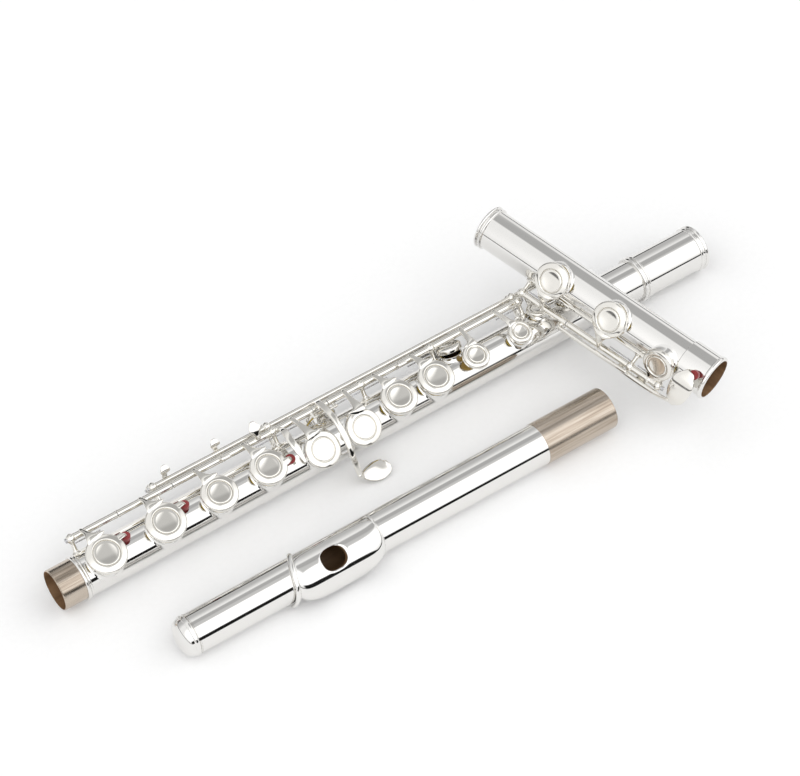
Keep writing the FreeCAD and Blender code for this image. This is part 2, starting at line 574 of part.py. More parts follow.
def build_foot_keys():
    opened = size("open_angle")
    # the C lever carries a roller, and the C sharp lever a petal-shaped touch, side by side
    lever = strap([Vector(58, FOOT_HINGE.y, FOOT_HINGE.z), spot(58, 20.6, 63), spot(97, 20.6, 58)], 3.0, 1.3)
    key("foot_c_key", size("c_sharp_foot_x"), 0.0, size("foot_cup_r"), KEY_SPANS["foot_c_key"], FOOT_HINGE,
        opened, FOOT, extras=lever, arm_shift=0.0)
    petal_lever = strap([Vector(93, FOOT_HINGE.y, FOOT_HINGE.z), spot(93, 20.4, 68), spot(114, 20.4, 68),
                         spot(121, 19.8, 58)], 3.0, 1.3)
    petal = strap([spot(124, 19.6, 59), spot(124, 16.8, 36), spot(124, 14.8, 12), spot(124, 14.2, -6)],
                  10.5, 1.4)
    felt = cylinder(out_of_tube(126.4, size("foot_socket_r") + 0.2, -3.0), "dims.felt_r", 2.6)
    node("foot_c_sharp_felt", felt, FOOT.multiply(turned_about(FOOT_HINGE, opened)))
    key("foot_c_sharp_key", size("d_foot_x"), 0.0, size("foot_cup_r"), KEY_SPANS["foot_c_sharp_key"],
        FOOT_HINGE, opened, FOOT, extras=petal_lever + petal, arm_shift=0.0)

    # the D sharp spoon hangs outside the hinge
    spoon = strap([Vector(104, FOOT_HINGE.y, FOOT_HINGE.z), spot(104, 21.0, 88), spot(104, 22.0, 104)],
                  12.0, 1.4)
    key("foot_d_sharp_key", size("d_sharp_foot_x"), size("d_sharp_foot_angle"), size("foot_small_cup_r"),
        KEY_SPANS["foot_d_sharp_key"], FOOT_HINGE, 0.0, FOOT, extras=spoon, arm_shift=-2.0)


build_head()
build_body()
build_body_keys()
build_foot()
build_foot_keys()
doc.recompute()

for item in doc.Objects:
    if "Invalid" in item.State or "Error" in item.State:
        raise SystemExit(f"{item.Label} failed: {item.State}")
for piece in nodes:
    if piece.Shape.isNull() or not piece.Shape.isValid():
        raise SystemExit(f"{piece.Label} has no valid shape")

os.makedirs("parts", exist_ok=True)
whole = FreeCAD.BoundBox()
for piece in nodes:
    piece.Shape.exportStep(f"parts/{piece.Label}.step")
    whole.add(piece.Shape.BoundBox)
print(f"{len(nodes)} nodes, box {whole}")
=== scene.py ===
import json
import math

import bmesh
import bpy
from mathutils import Matrix, Quaternion, Vector


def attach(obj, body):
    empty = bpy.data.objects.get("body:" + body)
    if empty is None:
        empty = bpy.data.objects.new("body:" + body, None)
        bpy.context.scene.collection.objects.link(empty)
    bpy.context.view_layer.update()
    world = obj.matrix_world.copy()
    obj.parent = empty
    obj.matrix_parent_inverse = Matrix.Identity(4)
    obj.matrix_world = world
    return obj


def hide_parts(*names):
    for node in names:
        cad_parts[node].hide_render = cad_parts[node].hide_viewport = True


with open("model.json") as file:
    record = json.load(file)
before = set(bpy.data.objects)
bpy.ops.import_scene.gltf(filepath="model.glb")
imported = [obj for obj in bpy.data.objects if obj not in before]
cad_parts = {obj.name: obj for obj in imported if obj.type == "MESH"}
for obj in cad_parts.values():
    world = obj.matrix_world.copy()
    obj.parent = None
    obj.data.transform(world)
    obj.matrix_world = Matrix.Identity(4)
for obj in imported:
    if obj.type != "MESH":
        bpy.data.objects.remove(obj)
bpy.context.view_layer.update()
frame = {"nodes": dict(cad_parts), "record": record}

MM = 0.001
RECORD = frame["record"]
MOUNTS = {m["name"]: m for m in RECORD["mounts"]}
JOINTS = {j["name"]: j for j in RECORD["behaviour"]["joints"]}
BODY_OF = {n: body for body, names in RECORD["behaviour"]["bodies"].items() for n in names}

# ---- the three sections' frames: X along the tube, Z out of the tone holes, millimetres ------

TUBE_R = 9.9
BORE_R = 9.5
MAIN_HINGE_ANGLE = -60.8
FOOT_HINGE_ANGLE = 65.0
HEAD_ROLL = 36.5


class Section:
    """A tube's own frame. An angle on the tube is measured from Z towards -Y."""

    def __init__(self, start, along, roll):
        x = Vector(along).normalized()
        up = (Vector((0, 0, 1)) - x * x.z).normalized()
        z = Quaternion(x, roll) @ up
        y = z.cross(x)
        self.matrix = Matrix((x, y, z)).transposed().to_4x4()
        self.matrix.translation = start
        self.inverse = self.matrix.inverted()

    def local(self, point):
        return self.inverse @ Vector(point) / MM


def section_at(start, along, hinge, angle):
    """The section whose roll puts a hinge line at its angle on the tube."""
    flat = Section(start, along, 0.0).local(hinge)
    return Section(start, along, math.atan2(-flat.y, flat.z) - math.radians(angle))


TENON = MOUNTS["body_tenon"]
BODY_ALONG = -Vector(TENON["axis"])
BODY_START = Vector(TENON["pos_m"]) - BODY_ALONG * TENON["dims"]["length_mm"] / 2 * MM
BODY = section_at(BODY_START, BODY_ALONG, JOINTS["f_key_hinge"]["pos_m"], MAIN_HINGE_ANGLE)
HEAD = Section(Vector(JOINTS["crown_turn"]["pos_m"]), JOINTS["crown_turn"]["axis"], math.radians(HEAD_ROLL))
FOOT_LEN = 131.7
# The record's point is 7.5 mm from the socket's end, so this foot stands 0.5 mm off its CAD place.
SOCKET_POINT = 7.0
SOCKET = MOUNTS["foot_socket"]
FOOT_ALONG = Vector(SOCKET["axis"])
FOOT_START = Vector(SOCKET["pos_m"]) - FOOT_ALONG * (FOOT_LEN - SOCKET_POINT) * MM
FOOT = section_at(FOOT_START, FOOT_ALONG, JOINTS["foot_c_key_hinge"]["pos_m"], FOOT_HINGE_ANGLE)

MAIN = BODY.local(JOINTS["f_key_hinge"]["pos_m"])
D_TRILL = BODY.local(JOINTS["d_trill_key_hinge"]["pos_m"])
D_SHARP_TRILL = BODY.local(JOINTS["d_sharp_trill_key_hinge"]["pos_m"])
THUMB = BODY.local(JOINTS["thumb_key_hinge"]["pos_m"])
FOOT_HINGE = FOOT.local(JOINTS["foot_c_key_hinge"]["pos_m"])


def spot(x, reach, angle):
    """The point at a distance from the tube's axis, at an angle on the tube."""
    a = math.radians(angle)
    return Vector((x, -reach * math.sin(a), reach * math.cos(a)))


# ---- mesh building blocks -------------------------------------------------------------------

ALONG_X = Matrix(((0, 0, 1, 0), (0, 1, 0, 0), (-1, 0, 0, 0), (0, 0, 0, 1)))


def along_x(x=0.0, y=0.0, z=0.0):
    """A placement whose Z runs along the tube."""
    return Matrix.Translation((x, y, z)) @ ALONG_X


def out_of_tube(x, reach, angle):
    """A placement whose Z leaves the tube at an angle."""
    return Matrix.Translation(spot(x, reach, angle)) @ Matrix.Rotation(math.radians(angle), 4, "X")


def shell(rings, closed_ends=True):
    """Faces between equal rings of points; a ring may shrink to a point at either end."""
    verts = [p for ring in rings for p in ring]
    count = len(rings[0])
    faces = []
    for r in range(len(rings) - 1):
        for i in range(count):
            j = (i + 1) % count
            faces.append((r * count + i, r * count + j, (r + 1) * count + j, (r + 1) * count + i))
    if closed_ends:
        faces.append(tuple(reversed(range(count))))
        faces.append(tuple(range((len(rings) - 1) * count, len(rings) * count)))
    return verts, faces


def lathe(profile, place, steps=64):
    """A profile of (height, radius) turned about the placement's Z. A closed profile makes a ring."""
    rings = []
    for height, radius in profile:
        ring = []
        for i in range(steps):
            a = 2 * math.pi * i / steps
            ring.append(place @ Vector((radius * math.cos(a), radius * math.sin(a), height)))
        rings.append(ring)
    return shell(rings, closed_ends=profile[0] != profile[-1])


def arc(cx, cr, radius, start, end, steps=6):
    """Profile points on a round corner: centre (height, radius), angles in degrees from the height axis."""
    points = []
    for i in range(steps + 1):
        a = math.radians(start + (end - start) * i / steps)
        points.append((cx + radius * math.cos(a), cr + radius * math.sin(a)))
    return points


def smooth_path(values, steps):
    """A Catmull-Rom curve through vectors or numbers."""
    if len(values) < 3:
        return [values[0] + (values[-1] - values[0]) * (i / steps) for i in range(steps + 1)]
    ends = [values[0] * 2 - values[1]] + list(values) + [values[-1] * 2 - values[-2]]
    out = []
    for k in range(len(values) - 1):
        a, b, c, d = ends[k:k + 4]
        for i in range(steps):
            t = i / steps
            out.append((b * 2 + (c - a) * t + (a * 2 - b * 5 + c * 4 - d) * t * t
                        + (b * 3 - a - c * 3 + d) * t * t * t) * 0.5)
    out.append(values[-1])
    return out


def bar(points, widths, thicks, side=None, steps=6, around=16, boxy=2.6):
    """A cast bar along a smooth path, its section a rounded oval, with round ends.

    The width lies along side, or across the path and along the tube's surface without one."""
    path = smooth_path([Vector(p) for p in points], steps)
    wide = smooth_path([float(w) for w in widths], steps)
    thick = smooth_path([float(t) for t in thicks], steps)
    rings = []
    last = len(path) - 1
    for i, centre in enumerate(path):
        run = (path[min(i + 1, last)] - path[max(i - 1, 0)]).normalized()
        if side is None:
            out = Vector((0, centre.y, centre.z)).normalized()
            across = out.cross(run).normalized()
        else:
            across = (Vector(side) - run * run.dot(Vector(side))).normalized()
        normal = run.cross(across).normalized()
        sections = [(0.0, 1.0)]
        if i == 0:
            sections = [(-0.5, 0.25), (-0.42, 0.62), (-0.25, 0.88), (0.0, 1.0)]
        if i == last:
            sections = [(0.0, 1.0), (0.25, 0.88), (0.42, 0.62), (0.5, 0.25)]
        for shift, scale in sections:
            ring = []
            for k in range(around):
                a = 2 * math.pi * k / around
                c, s = math.cos(a), math.sin(a)
                u = math.copysign(abs(c) ** (2 / boxy), c) * wide[i] / 2 * scale
                v = math.copysign(abs(s) ** (2 / boxy), s) * thick[i] / 2 * scale
                ring.append(centre + run * shift * thick[i] + across * u + normal * v)
            rings.append(ring)
    return shell(rings)


def join(parts):
    verts, faces = [], []
    for part_verts, part_faces in parts:
        base = len(verts)
        verts += part_verts
        faces += [tuple(base + i for i in face) for face in part_faces]
    return verts, faces


def tidy(mesh, sharp=38.0):
    """Outward normals, and smooth shading with sharp edges where faces turn hard."""
    bm = bmesh.new()
    bm.from_mesh(mesh)
    bmesh.ops.remove_doubles(bm, verts=bm.verts, dist=0.002 * MM)
    bmesh.ops.dissolve_degenerate(bm, dist=0.001 * MM, edges=bm.edges)
    bmesh.ops.recalc_face_normals(bm, faces=bm.faces)
    for face in bm.faces:
        face.smooth = True
    for edge in bm.edges:
        edge.smooth = edge.is_manifold and edge.calc_face_angle(math.pi) < math.radians(sharp)
    bm.to_mesh(mesh)
    bm.free()


def piece(name, shape, section, materials, body, replaced=(), pivot=None, weighted=True):
    """An object from vertices in a section's millimetres, riding on a body."""
    verts, faces = shape
    mesh = bpy.data.meshes.new(name)
    mesh.from_pydata([Vector(v) * MM for v in verts], [], faces)
    tidy(mesh)
    obj = bpy.data.objects.new(name, mesh)
    bpy.context.scene.collection.objects.link(obj)
    for material in materials if isinstance(materials, (list, tuple)) else [materials]:
        mesh.materials.append(material)
    place = section.matrix
    if pivot is not None:
        place = place @ pivot
    obj.matrix_world = place
    if weighted:
        modifier = obj.modifiers.new("face_weighted_normals", "WEIGHTED_NORMAL")
        modifier.keep_sharp = True
    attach(obj, body)
    if replaced:
        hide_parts(*replaced)
    return obj


def pivot_at(hinge, degrees):
    """A turn about a hinge line of the section."""
    point = Vector((0, hinge.y, hinge.z)) * MM
    turn = Matrix.Rotation(math.radians(degrees), 4, "X")
    return Matrix.Translation(point) @ turn @ Matrix.Translation(-point)


# ---- materials ------------------------------------------------------------------------------

class Nodes:
    """Short way to build a node tree."""

    def __init__(self, name):
        self.material = bpy.data.materials.new(name)
        self.material.use_nodes = True
        self.tree = self.material.node_tree
        self.shader = self.tree.nodes["Principled BSDF"]
        self.coords = self.add("ShaderNodeTexCoord").outputs["Object"]

    def add(self, kind, inputs=None, **settings):
        node = self.tree.nodes.new(kind)
        for key, value in settings.items():
            setattr(node, key, value)
        for key, value in (inputs or {}).items():
            if isinstance(value, bpy.types.NodeSocket):
                self.tree.links.new(value, node.inputs[key])
            else:
                node.inputs[key].default_value = value
        return node

    def stretched(self, scale):
        mapping = self.add("ShaderNodeMapping", {"Vector": self.coords, "Scale": scale})
        return mapping.outputs["Vector"]

    def noise(self, vector, scale, detail=4.0, rough=0.55):
        node = self.add("ShaderNodeTexNoise", {"Vector": vector, "Scale": scale, "Detail": detail,
                                               "Roughness": rough})
        return node.outputs["Fac"]

    def ramp(self, value, stops):
        node = self.add("ShaderNodeValToRGB", {"Fac": value})
        ramp = node.color_ramp
        while len(ramp.elements) < len(stops):
            ramp.elements.new(0.5)
        for element, (place, colour) in zip(ramp.elements, stops):
            element.position = place
            element.color = (*colour, 1.0)
        return node.outputs["Color"]

    def between(self, value, low, high):
        node = self.add("ShaderNodeMapRange", {"Value": value, "To Min": low, "To Max": high})
        return node.outputs["Result"]

    def set(self, **inputs):
        for key, value in inputs.items():
            name = key.replace("_", " ")
            if isinstance(value, bpy.types.NodeSocket):
                self.tree.links.new(value, self.shader.inputs[name])
            else:
                self.shader.inputs[name].default_value = value

    def bump(self, height, strength, distance):
        node = self.add("ShaderNodeBump", {"Height": height, "Strength": strength,
                                           "Distance": distance * MM})
        self.set(Normal=node.outputs["Normal"])


def silver(name, low, high, colour=(0.815, 0.805, 0.785), haze=(0.03, 0.09), ripple=0.02):
    """Polished silver plate: a mirror with a faint warm haze, fine wipe marks and slow ripples."""
    n = Nodes(name)
    cloud = n.noise(n.coords, 140.0, 3.0)
    wipes = n.noise(n.stretched((60.0, 900.0, 900.0)), 1.0, 5.0)
    tint = n.ramp(cloud, [(0.25, tuple(c * low for c in colour)), (0.75, tuple(c * high for c in colour))])
    n.set(Base_Color=tint, Metallic=1.0, Roughness=n.between(wipes, *haze))
    n.bump(n.noise(n.coords, 55.0, 2.0), 0.25, ripple)
    return n.material


def satin_nickel():
    """Bare nickel silver burnished along the tenon: warm grey-brown streaks."""
    n = Nodes("satin_nickel")
    streaks = n.noise(n.stretched((25.0, 900.0, 900.0)), 1.0, 6.0, 0.65)
    broad = n.noise(n.stretched((12.0, 160.0, 160.0)), 1.0, 2.0)
    mixed = n.add("ShaderNodeMath", {0: streaks, 1: broad}, operation="ADD").outputs[0]
    tint = n.ramp(n.between(mixed, -0.35, 0.65), [(0.15, (0.17, 0.125, 0.09)), (0.5, (0.45, 0.38, 0.31)),
                                                  (0.85, (0.72, 0.65, 0.57))])
    n.set(Base_Color=tint, Metallic=1.0, Roughness=n.between(streaks, 0.16, 0.30), Anisotropic=0.4)
    n.bump(streaks, 0.3, 0.015)
    return n.material


def dark_bore():
    """The unpolished inside of a tube: dark brown tarnish."""
    n = Nodes("tarnished_bore")
    cloud = n.noise(n.stretched((60.0, 200.0, 200.0)), 1.0, 5.0)
    tint = n.ramp(cloud, [(0.3, (0.14, 0.075, 0.033)), (0.7, (0.30, 0.175, 0.088))])
    n.set(Base_Color=tint, Metallic=0.1, Roughness=n.between(cloud, 0.35, 0.6))
    n.bump(cloud, 0.3, 0.05)
    return n.material


def golden_pad():
    """Bladder skin stretched over felt: golden yellow with fine creases."""
    n = Nodes("golden_pad_skin")
    fibre = n.noise(n.coords, 900.0, 6.0)
    cloud = n.noise(n.coords, 220.0, 3.0)
    tint = n.ramp(cloud, [(0.3, (0.62, 0.42, 0.05)), (0.7, (0.85, 0.64, 0.14))])
    n.set(Base_Color=tint, Roughness=n.between(fibre, 0.45, 0.7), Coat_Weight=0.15)
    n.bump(fibre, 0.4, 0.08)
    return n.material


def felt(name, dark, light):
    n = Nodes(name)
    fibre = n.noise(n.coords, 2600.0, 8.0, 0.7)
    tint = n.ramp(fibre, [(0.3, dark), (0.7, light)])
    n.set(Base_Color=tint, Roughness=0.95, Sheen_Weight=0.4)
    n.bump(fibre, 0.8, 0.15)
    return n.material


def ground_steel():
    n = Nodes("ground_steel")
    rings = n.noise(n.stretched((1400.0, 60.0, 60.0)), 1.0, 4.0)
    n.set(Base_Color=n.ramp(rings, [(0.3, (0.42, 0.42, 0.44)), (0.7, (0.66, 0.66, 0.67))]), Metallic=1.0,
          Roughness=n.between(rings, 0.2, 0.35))
    n.bump(rings, 0.2, 0.01)
    return n.material


def cork():
    n = Nodes("stopper_cork")
    cells = n.add("ShaderNodeTexVoronoi", {"Vector": n.coords, "Scale": 900.0}).outputs["Distance"]
    n.set(Base_Color=n.ramp(cells, [(0.1, (0.25, 0.14, 0.07)), (0.6, (0.60, 0.42, 0.24))]), Roughness=0.85)
    n.bump(cells, 0.6, 0.2)
    return n.material


TUBE_SILVER = silver("tube_silver", 0.985, 1.0)
KEY_SILVER = silver("key_silver", 0.96, 1.0, colour=(0.82, 0.80, 0.755), haze=(0.035, 0.10), ripple=0.03)
NICKEL = satin_nickel()
BORE = dark_bore()
PAD = golden_pad()
RED_FELT = felt("dark_red_felt", (0.14, 0.014, 0.016), (0.36, 0.045, 0.045))
GOLD_FELT = felt("golden_felt", (0.42, 0.26, 0.06), (0.70, 0.50, 0.16))
STEEL = ground_steel()
CORK = cork()

# ---- tubes ----------------------------------------------------------------------------------


CHIMNEY_WALL = 0.55


def cylinder_cutter(place, radius, low, high, steps=48):
    return lathe([(low, radius), (high, radius)], place, steps)


def carve(obj, cutters):
    """Cuts closed shapes, in the piece's millimetres, out of a piece."""
    verts, faces = join(cutters)
    mesh = bpy.data.meshes.new("cutter")
    mesh.from_pydata([Vector(v) * MM for v in verts], [], faces)
    tidy(mesh)
    tool = bpy.data.objects.new("cutter", mesh)
    bpy.context.scene.collection.objects.link(tool)
    tool.matrix_world = obj.matrix_world
    modifier = obj.modifiers.new("holes", "BOOLEAN")
    modifier.operation = "DIFFERENCE"
    modifier.solver = "EXACT"
    modifier.use_self = True
    modifier.object = tool
    bpy.context.view_layer.update()
    done = bpy.data.meshes.new_from_object(obj.evaluated_get(bpy.context.evaluated_depsgraph_get()))
    obj.modifiers.clear()
    obj.data = done
    bpy.data.objects.remove(tool)


def radial_normals(obj):
    """Exact round shading on a drilled tube: walls shade as a cylinder, cut edges stay crisp."""
    mesh = obj.data
    normals = [None] * len(mesh.loops)
    for face in mesh.polygons:
        centre = face.center
        out = Vector((0, centre.y, centre.z)).normalized()
        facing = face.normal.dot(out)
        for loop in face.loop_indices:
            point = mesh.vertices[mesh.loops[loop].vertex_index].co
            if abs(facing) > 0.985:
                radial = Vector((0, point.y, point.z)).normalized()
                normals[loop] = radial if facing > 0 else -radial
            else:
                normals[loop] = face.normal.copy()
    mesh.normals_split_custom_set(normals)


def mark_bore(obj, radius):
    """Gives the faces inside a tube the bore's material, in slot 1."""
    for face in obj.data.polygons:
        reach = math.hypot(face.center.y, face.center.z) / MM
        out = Vector((0, face.center.y, face.center.z)).normalized()
        face.material_index = 1 if reach < radius and face.normal.dot(out) < 0.3 else 0


def bead(x, width, height, radius=TUBE_R):
    """A half-round bead round a tube, as profile points."""
    return [(x + width / 2 - math.cos(math.pi * i / 8) * width / 2,
             radius + math.sin(math.pi * i / 8) * height) for i in range(9)]


def tube_profile(outer, inner):
    return outer + list(reversed(inner)) + [outer[0]]


def chimney(x, angle, radius, seat):
    """A drawn tone hole: a flared foot on the tube, a thin wall and a rolled, level rim."""
    around = 56
    wall = CHIMNEY_WALL
    rings = []
    for flare, lift in ((1.5, 0.0), (0.75, 0.16), (0.3, 0.5), (0.08, 1.0)):
        ring = []
        for i in range(around):
            a = 2 * math.pi * i / around
            u, v = (radius + flare) * math.cos(a), (radius + flare) * math.sin(a)
            base = math.sqrt(max(TUBE_R ** 2 - min(abs(v), TUBE_R - 0.05) ** 2, 0)) - 0.04
            ring.append((u, v, min(base + lift * (1 - flare * 0.2), seat - 0.5)))
        rings.append(ring)
    for grow, height in ((0.0, -0.45), (0.28, -0.32), (0.34, -0.14), (0.22, -0.02), (-0.05, 0.0),
                         (-0.4, -0.03), (-wall, -0.3), (-wall, -1.0)):
        rings.append([((radius + grow) * math.cos(2 * math.pi * i / around),
                       (radius + grow) * math.sin(2 * math.pi * i / around), seat + height)
                      for i in range(around)])
    inner = []
    for i in range(around):
        a = 2 * math.pi * i / around
        u, v = (radius - wall) * math.cos(a), (radius - wall) * math.sin(a)
        inner.append((u, v, math.sqrt(BORE_R ** 2 - v ** 2)))
    rings.append(inner)
    turn = out_of_tube(x, 0, angle)
    return shell([[turn @ Vector(p) for p in ring] for ring in rings], closed_ends=False)


SEAT = 11.6
RIM_COVER = 1.5
LARGE, MEDIUM, TOUCH_CUP, SMALL, THUMB_CUP = 9.3, 8.6, 6.5, 5.8, 6.5
THUMB_DROP, TRILL_DROP = 0.4, 0.7
OFFSET_G, BACK_A, C_HOLE, TRILLS = 20.5, -105.0, -52.0, -38.0
CUPS = {
    "d_key": (24.2, 0.0, LARGE, 0.0), "e_key": (54.2, 0.0, LARGE, 0.0), "f_key": (81.8, 0.0, MEDIUM, 0.0),
    "f_sharp_key": (107.4, 0.0, MEDIUM, 0.0), "lower_g_key": (133.5, OFFSET_G, MEDIUM, 0.0),
    "g_sharp_key": (146.0, BACK_A, MEDIUM, 0.0), "upper_g_key": (155.7, OFFSET_G, MEDIUM, 0.0),
    "a_key": (178.05, 0.0, MEDIUM, 0.0), "b_flat_key": (198.6, 0.0, MEDIUM, 0.0),
    "thumb_key": (214.5, C_HOLE, THUMB_CUP, THUMB_DROP), "c_key": (246.3, 0.0, SMALL, 0.0),
    "d_trill_key": (263.0, TRILLS, SMALL, TRILL_DROP),
    "d_sharp_trill_key": (279.0, TRILLS, SMALL, TRILL_DROP),
}
FOOT_CUPS = {
    "foot_c_key": (46.2, 0.0, 8.6, 0.0), "foot_c_sharp_key": (79.3, 0.0, 8.6, 0.0),
    "foot_d_sharp_key": (109.0, 28.1, 8.0, 0.0),
}
BODY_LEN, BARREL_LEN, BODY_TENON_LEN = 356.3, 39.0, 11.0
BARREL_R, BARREL_BEAD_R, FOOT_SLEEVE_R = 10.75, 11.4, 10.55


def drilled_tube(name, node, section, start, end, cups, body):
    profile = tube_profile([(start, TUBE_R), (end, TUBE_R)], [(start, BORE_R), (end, BORE_R)])
    tube = piece(name, lathe(profile, along_x(), 128), section, [TUBE_SILVER, BORE], body,
                 [node], weighted=False)
    cutters = [cylinder_cutter(out_of_tube(x, 0, angle), cup_r - RIM_COVER - CHIMNEY_WALL, 2, 20)
               for x, angle, cup_r, drop in cups.values()]
    carve(tube, cutters)
    mark_bore(tube, BORE_R + 0.1)
    radial_normals(tube)
    rims = [chimney(x, angle, cup_r - RIM_COVER, SEAT - drop) for x, angle, cup_r, drop in cups.values()]
    piece(name + "_tone_holes", join(rims), section, TUBE_SILVER, body)


def sleeve(name, nodes, profile, section, body, materials=(TUBE_SILVER, BORE),
           bore=None):
    obj = piece(name, lathe(profile, along_x(), 128), section, list(materials), body, nodes)
    if bore is not None:
        mark_bore(obj, bore)
    return obj


def build_body_tube():
    end = BODY_LEN - BARREL_LEN
    drilled_tube("body_tube_wall", "body_tube", BODY, BODY_TENON_LEN, end, CUPS, "body_section")
    tenon_r = TENON["dims"]["r_mm"]
    outer = [(0.25, tenon_r - 0.18), (0.4, tenon_r), (BODY_TENON_LEN, tenon_r)]
    inner = [(0.0, 9.1), (BODY_TENON_LEN, 9.1)]
    sleeve("body_tenon_sleeve", ["body_tenon"], tube_profile([(0.0, 9.3)] + outer, inner), BODY,
           "body_section", (NICKEL, BORE), bore=9.2)
    x = BODY_TENON_LEN
    ring = [(x, TUBE_R)] + bead(x, 1.7, 0.8) + bead(x + 1.7, 1.2, 0.45) + [(x + 2.95, TUBE_R)]
    sleeve("body_shoulder_ring", ["shoulder_ring"], tube_profile(ring, [(x, TUBE_R), (x + 2.95, TUBE_R)]),
           BODY, "body_section")
    socket_r = MOUNTS["barrel_socket"]["dims"]["r_mm"]
    wall, raised = BARREL_R, BARREL_BEAD_R - BARREL_R
    outer = [(end, TUBE_R)] + bead(end, 1.7, raised, wall) + bead(end + 2.2, 1.4, 0.55, wall)
    outer += [(end + 3.8, wall), (BODY_LEN - 5.0, wall)]
    outer += bead(BODY_LEN - 4.6, 1.6, 0.55, wall) + bead(BODY_LEN - 2.1, 2.0, raised, wall)
    outer += [(BODY_LEN, wall - 0.1)]
    inner = [(end, BORE_R), (end + 1.0, BORE_R), (end + 1.0, socket_r), (BODY_LEN, socket_r)]
    sleeve("barrel_sleeve", ["barrel"], tube_profile(outer, inner), BODY, "body_section", bore=socket_r + 0.1)


HEAD_LEN, HEAD_TENON_START = 221.7, 183.4
HEAD_SMALL_R, HEAD_SMALL_BORE_R = 9.3, 8.7


def build_head():
    """The tapered tube with its mouth hole, the tenon's sleeve, the lip plate and the crown."""
    length, tenon = HEAD_LEN, HEAD_TENON_START
    small = HEAD_SMALL_R
    stations = 40
    outer = [(tenon * i / stations, small + (TUBE_R - small) * i / stations) for i in range(stations + 1)]
    outer += [(tenon, 9.6), (length, 9.6)]
    inner = [(0.0, HEAD_SMALL_BORE_R), (length, BORE_R)]
    tube = piece("head_tube_wall", lathe(tube_profile(outer, inner), along_x(), 128), HEAD,
                 [TUBE_SILVER, BORE], "head_section", ["head_tube"], weighted=False)
    carve(tube, [oval_column(0.0, 2.0, 20.0)])
    mark_bore(tube, 9.55)
    radial_normals(tube)
    r = MOUNTS["head_tenon"]["dims"]["r_mm"]
    outer = [(tenon, 9.62), (tenon, r - 0.1), (tenon + 0.2, r), (length - 0.3, r), (length, r - 0.2),
             (length, 9.62)]
    sleeve("head_tenon_sleeve", ["head_tenon"], tube_profile(outer, [(tenon, 9.6), (length, 9.6)]), HEAD,
           "head_section", (NICKEL, BORE))
    build_lip_plate()
    build_crown()


HOLE_X, MOUTH_A, MOUTH_B = 68.5, 6.1, 5.1


def oval(extra, angle, power=2.5):
    """A point on the mouth hole's rounded-square outline."""
    c, s = math.cos(angle), math.sin(angle)
    return (math.copysign(abs(c) ** (2 / power), c) * (MOUTH_A + extra),
            math.copysign(abs(s) ** (2 / power), s) * (MOUTH_B + extra))


def oval_column(extra, low, high, steps=64):
    """A column of the mouth hole's outline, widened all round, that cuts the hole."""
    rings = []
    for height in (low, high):
        ring = []
        for i in range(steps):
            u, v = oval(extra, 2 * math.pi * i / steps)
            ring.append(Vector((HOLE_X + u, v, height)))
        rings.append(ring)
    return shell(rings)


PLATE_START, PLATE_END = 48.6, 93.6
PLATE_SLANT = 0.26
PLATE_Y, PLATE_HALF_WIDTH = -1.9, 12.1
PLATE_STEP = 0.9
PLATE_SWELL = 1.5


def plate_height(x, y):
    """How high the lip plate's surface stands: it hugs the tube at its ends and swells at the hole."""
    along = (x - (PLATE_START + PLATE_END) / 2) / ((PLATE_END - PLATE_START) / 2)
    swell = 1 - min(abs(along), 1.0) ** 8
    reach = TUBE_R + PLATE_STEP + PLATE_SWELL * swell
    shift = y - PLATE_Y * swell
    return math.sqrt(max(reach ** 2 - shift ** 2, 0.0))


def plate_edge(angle):
    """The plate's outline round the mouth hole: square behind the hole, a full curve in front of it."""
    c, s = math.cos(angle), math.sin(angle)
    power = 7.0 if s > 0 else 2.7
    half = (PLATE_END - PLATE_START) / 2
    width = PLATE_HALF_WIDTH - (1.9 if s > 0 else 0.0)
    reach = (abs(c / half) ** power + abs(s / width) ** power) ** (-1 / power)
    x = (PLATE_START + PLATE_END) / 2 + reach * c
    slant = PLATE_SLANT * reach * s * (PLATE_END - x) / (PLATE_END - PLATE_START)
    return x + slant, PLATE_Y + reach * s


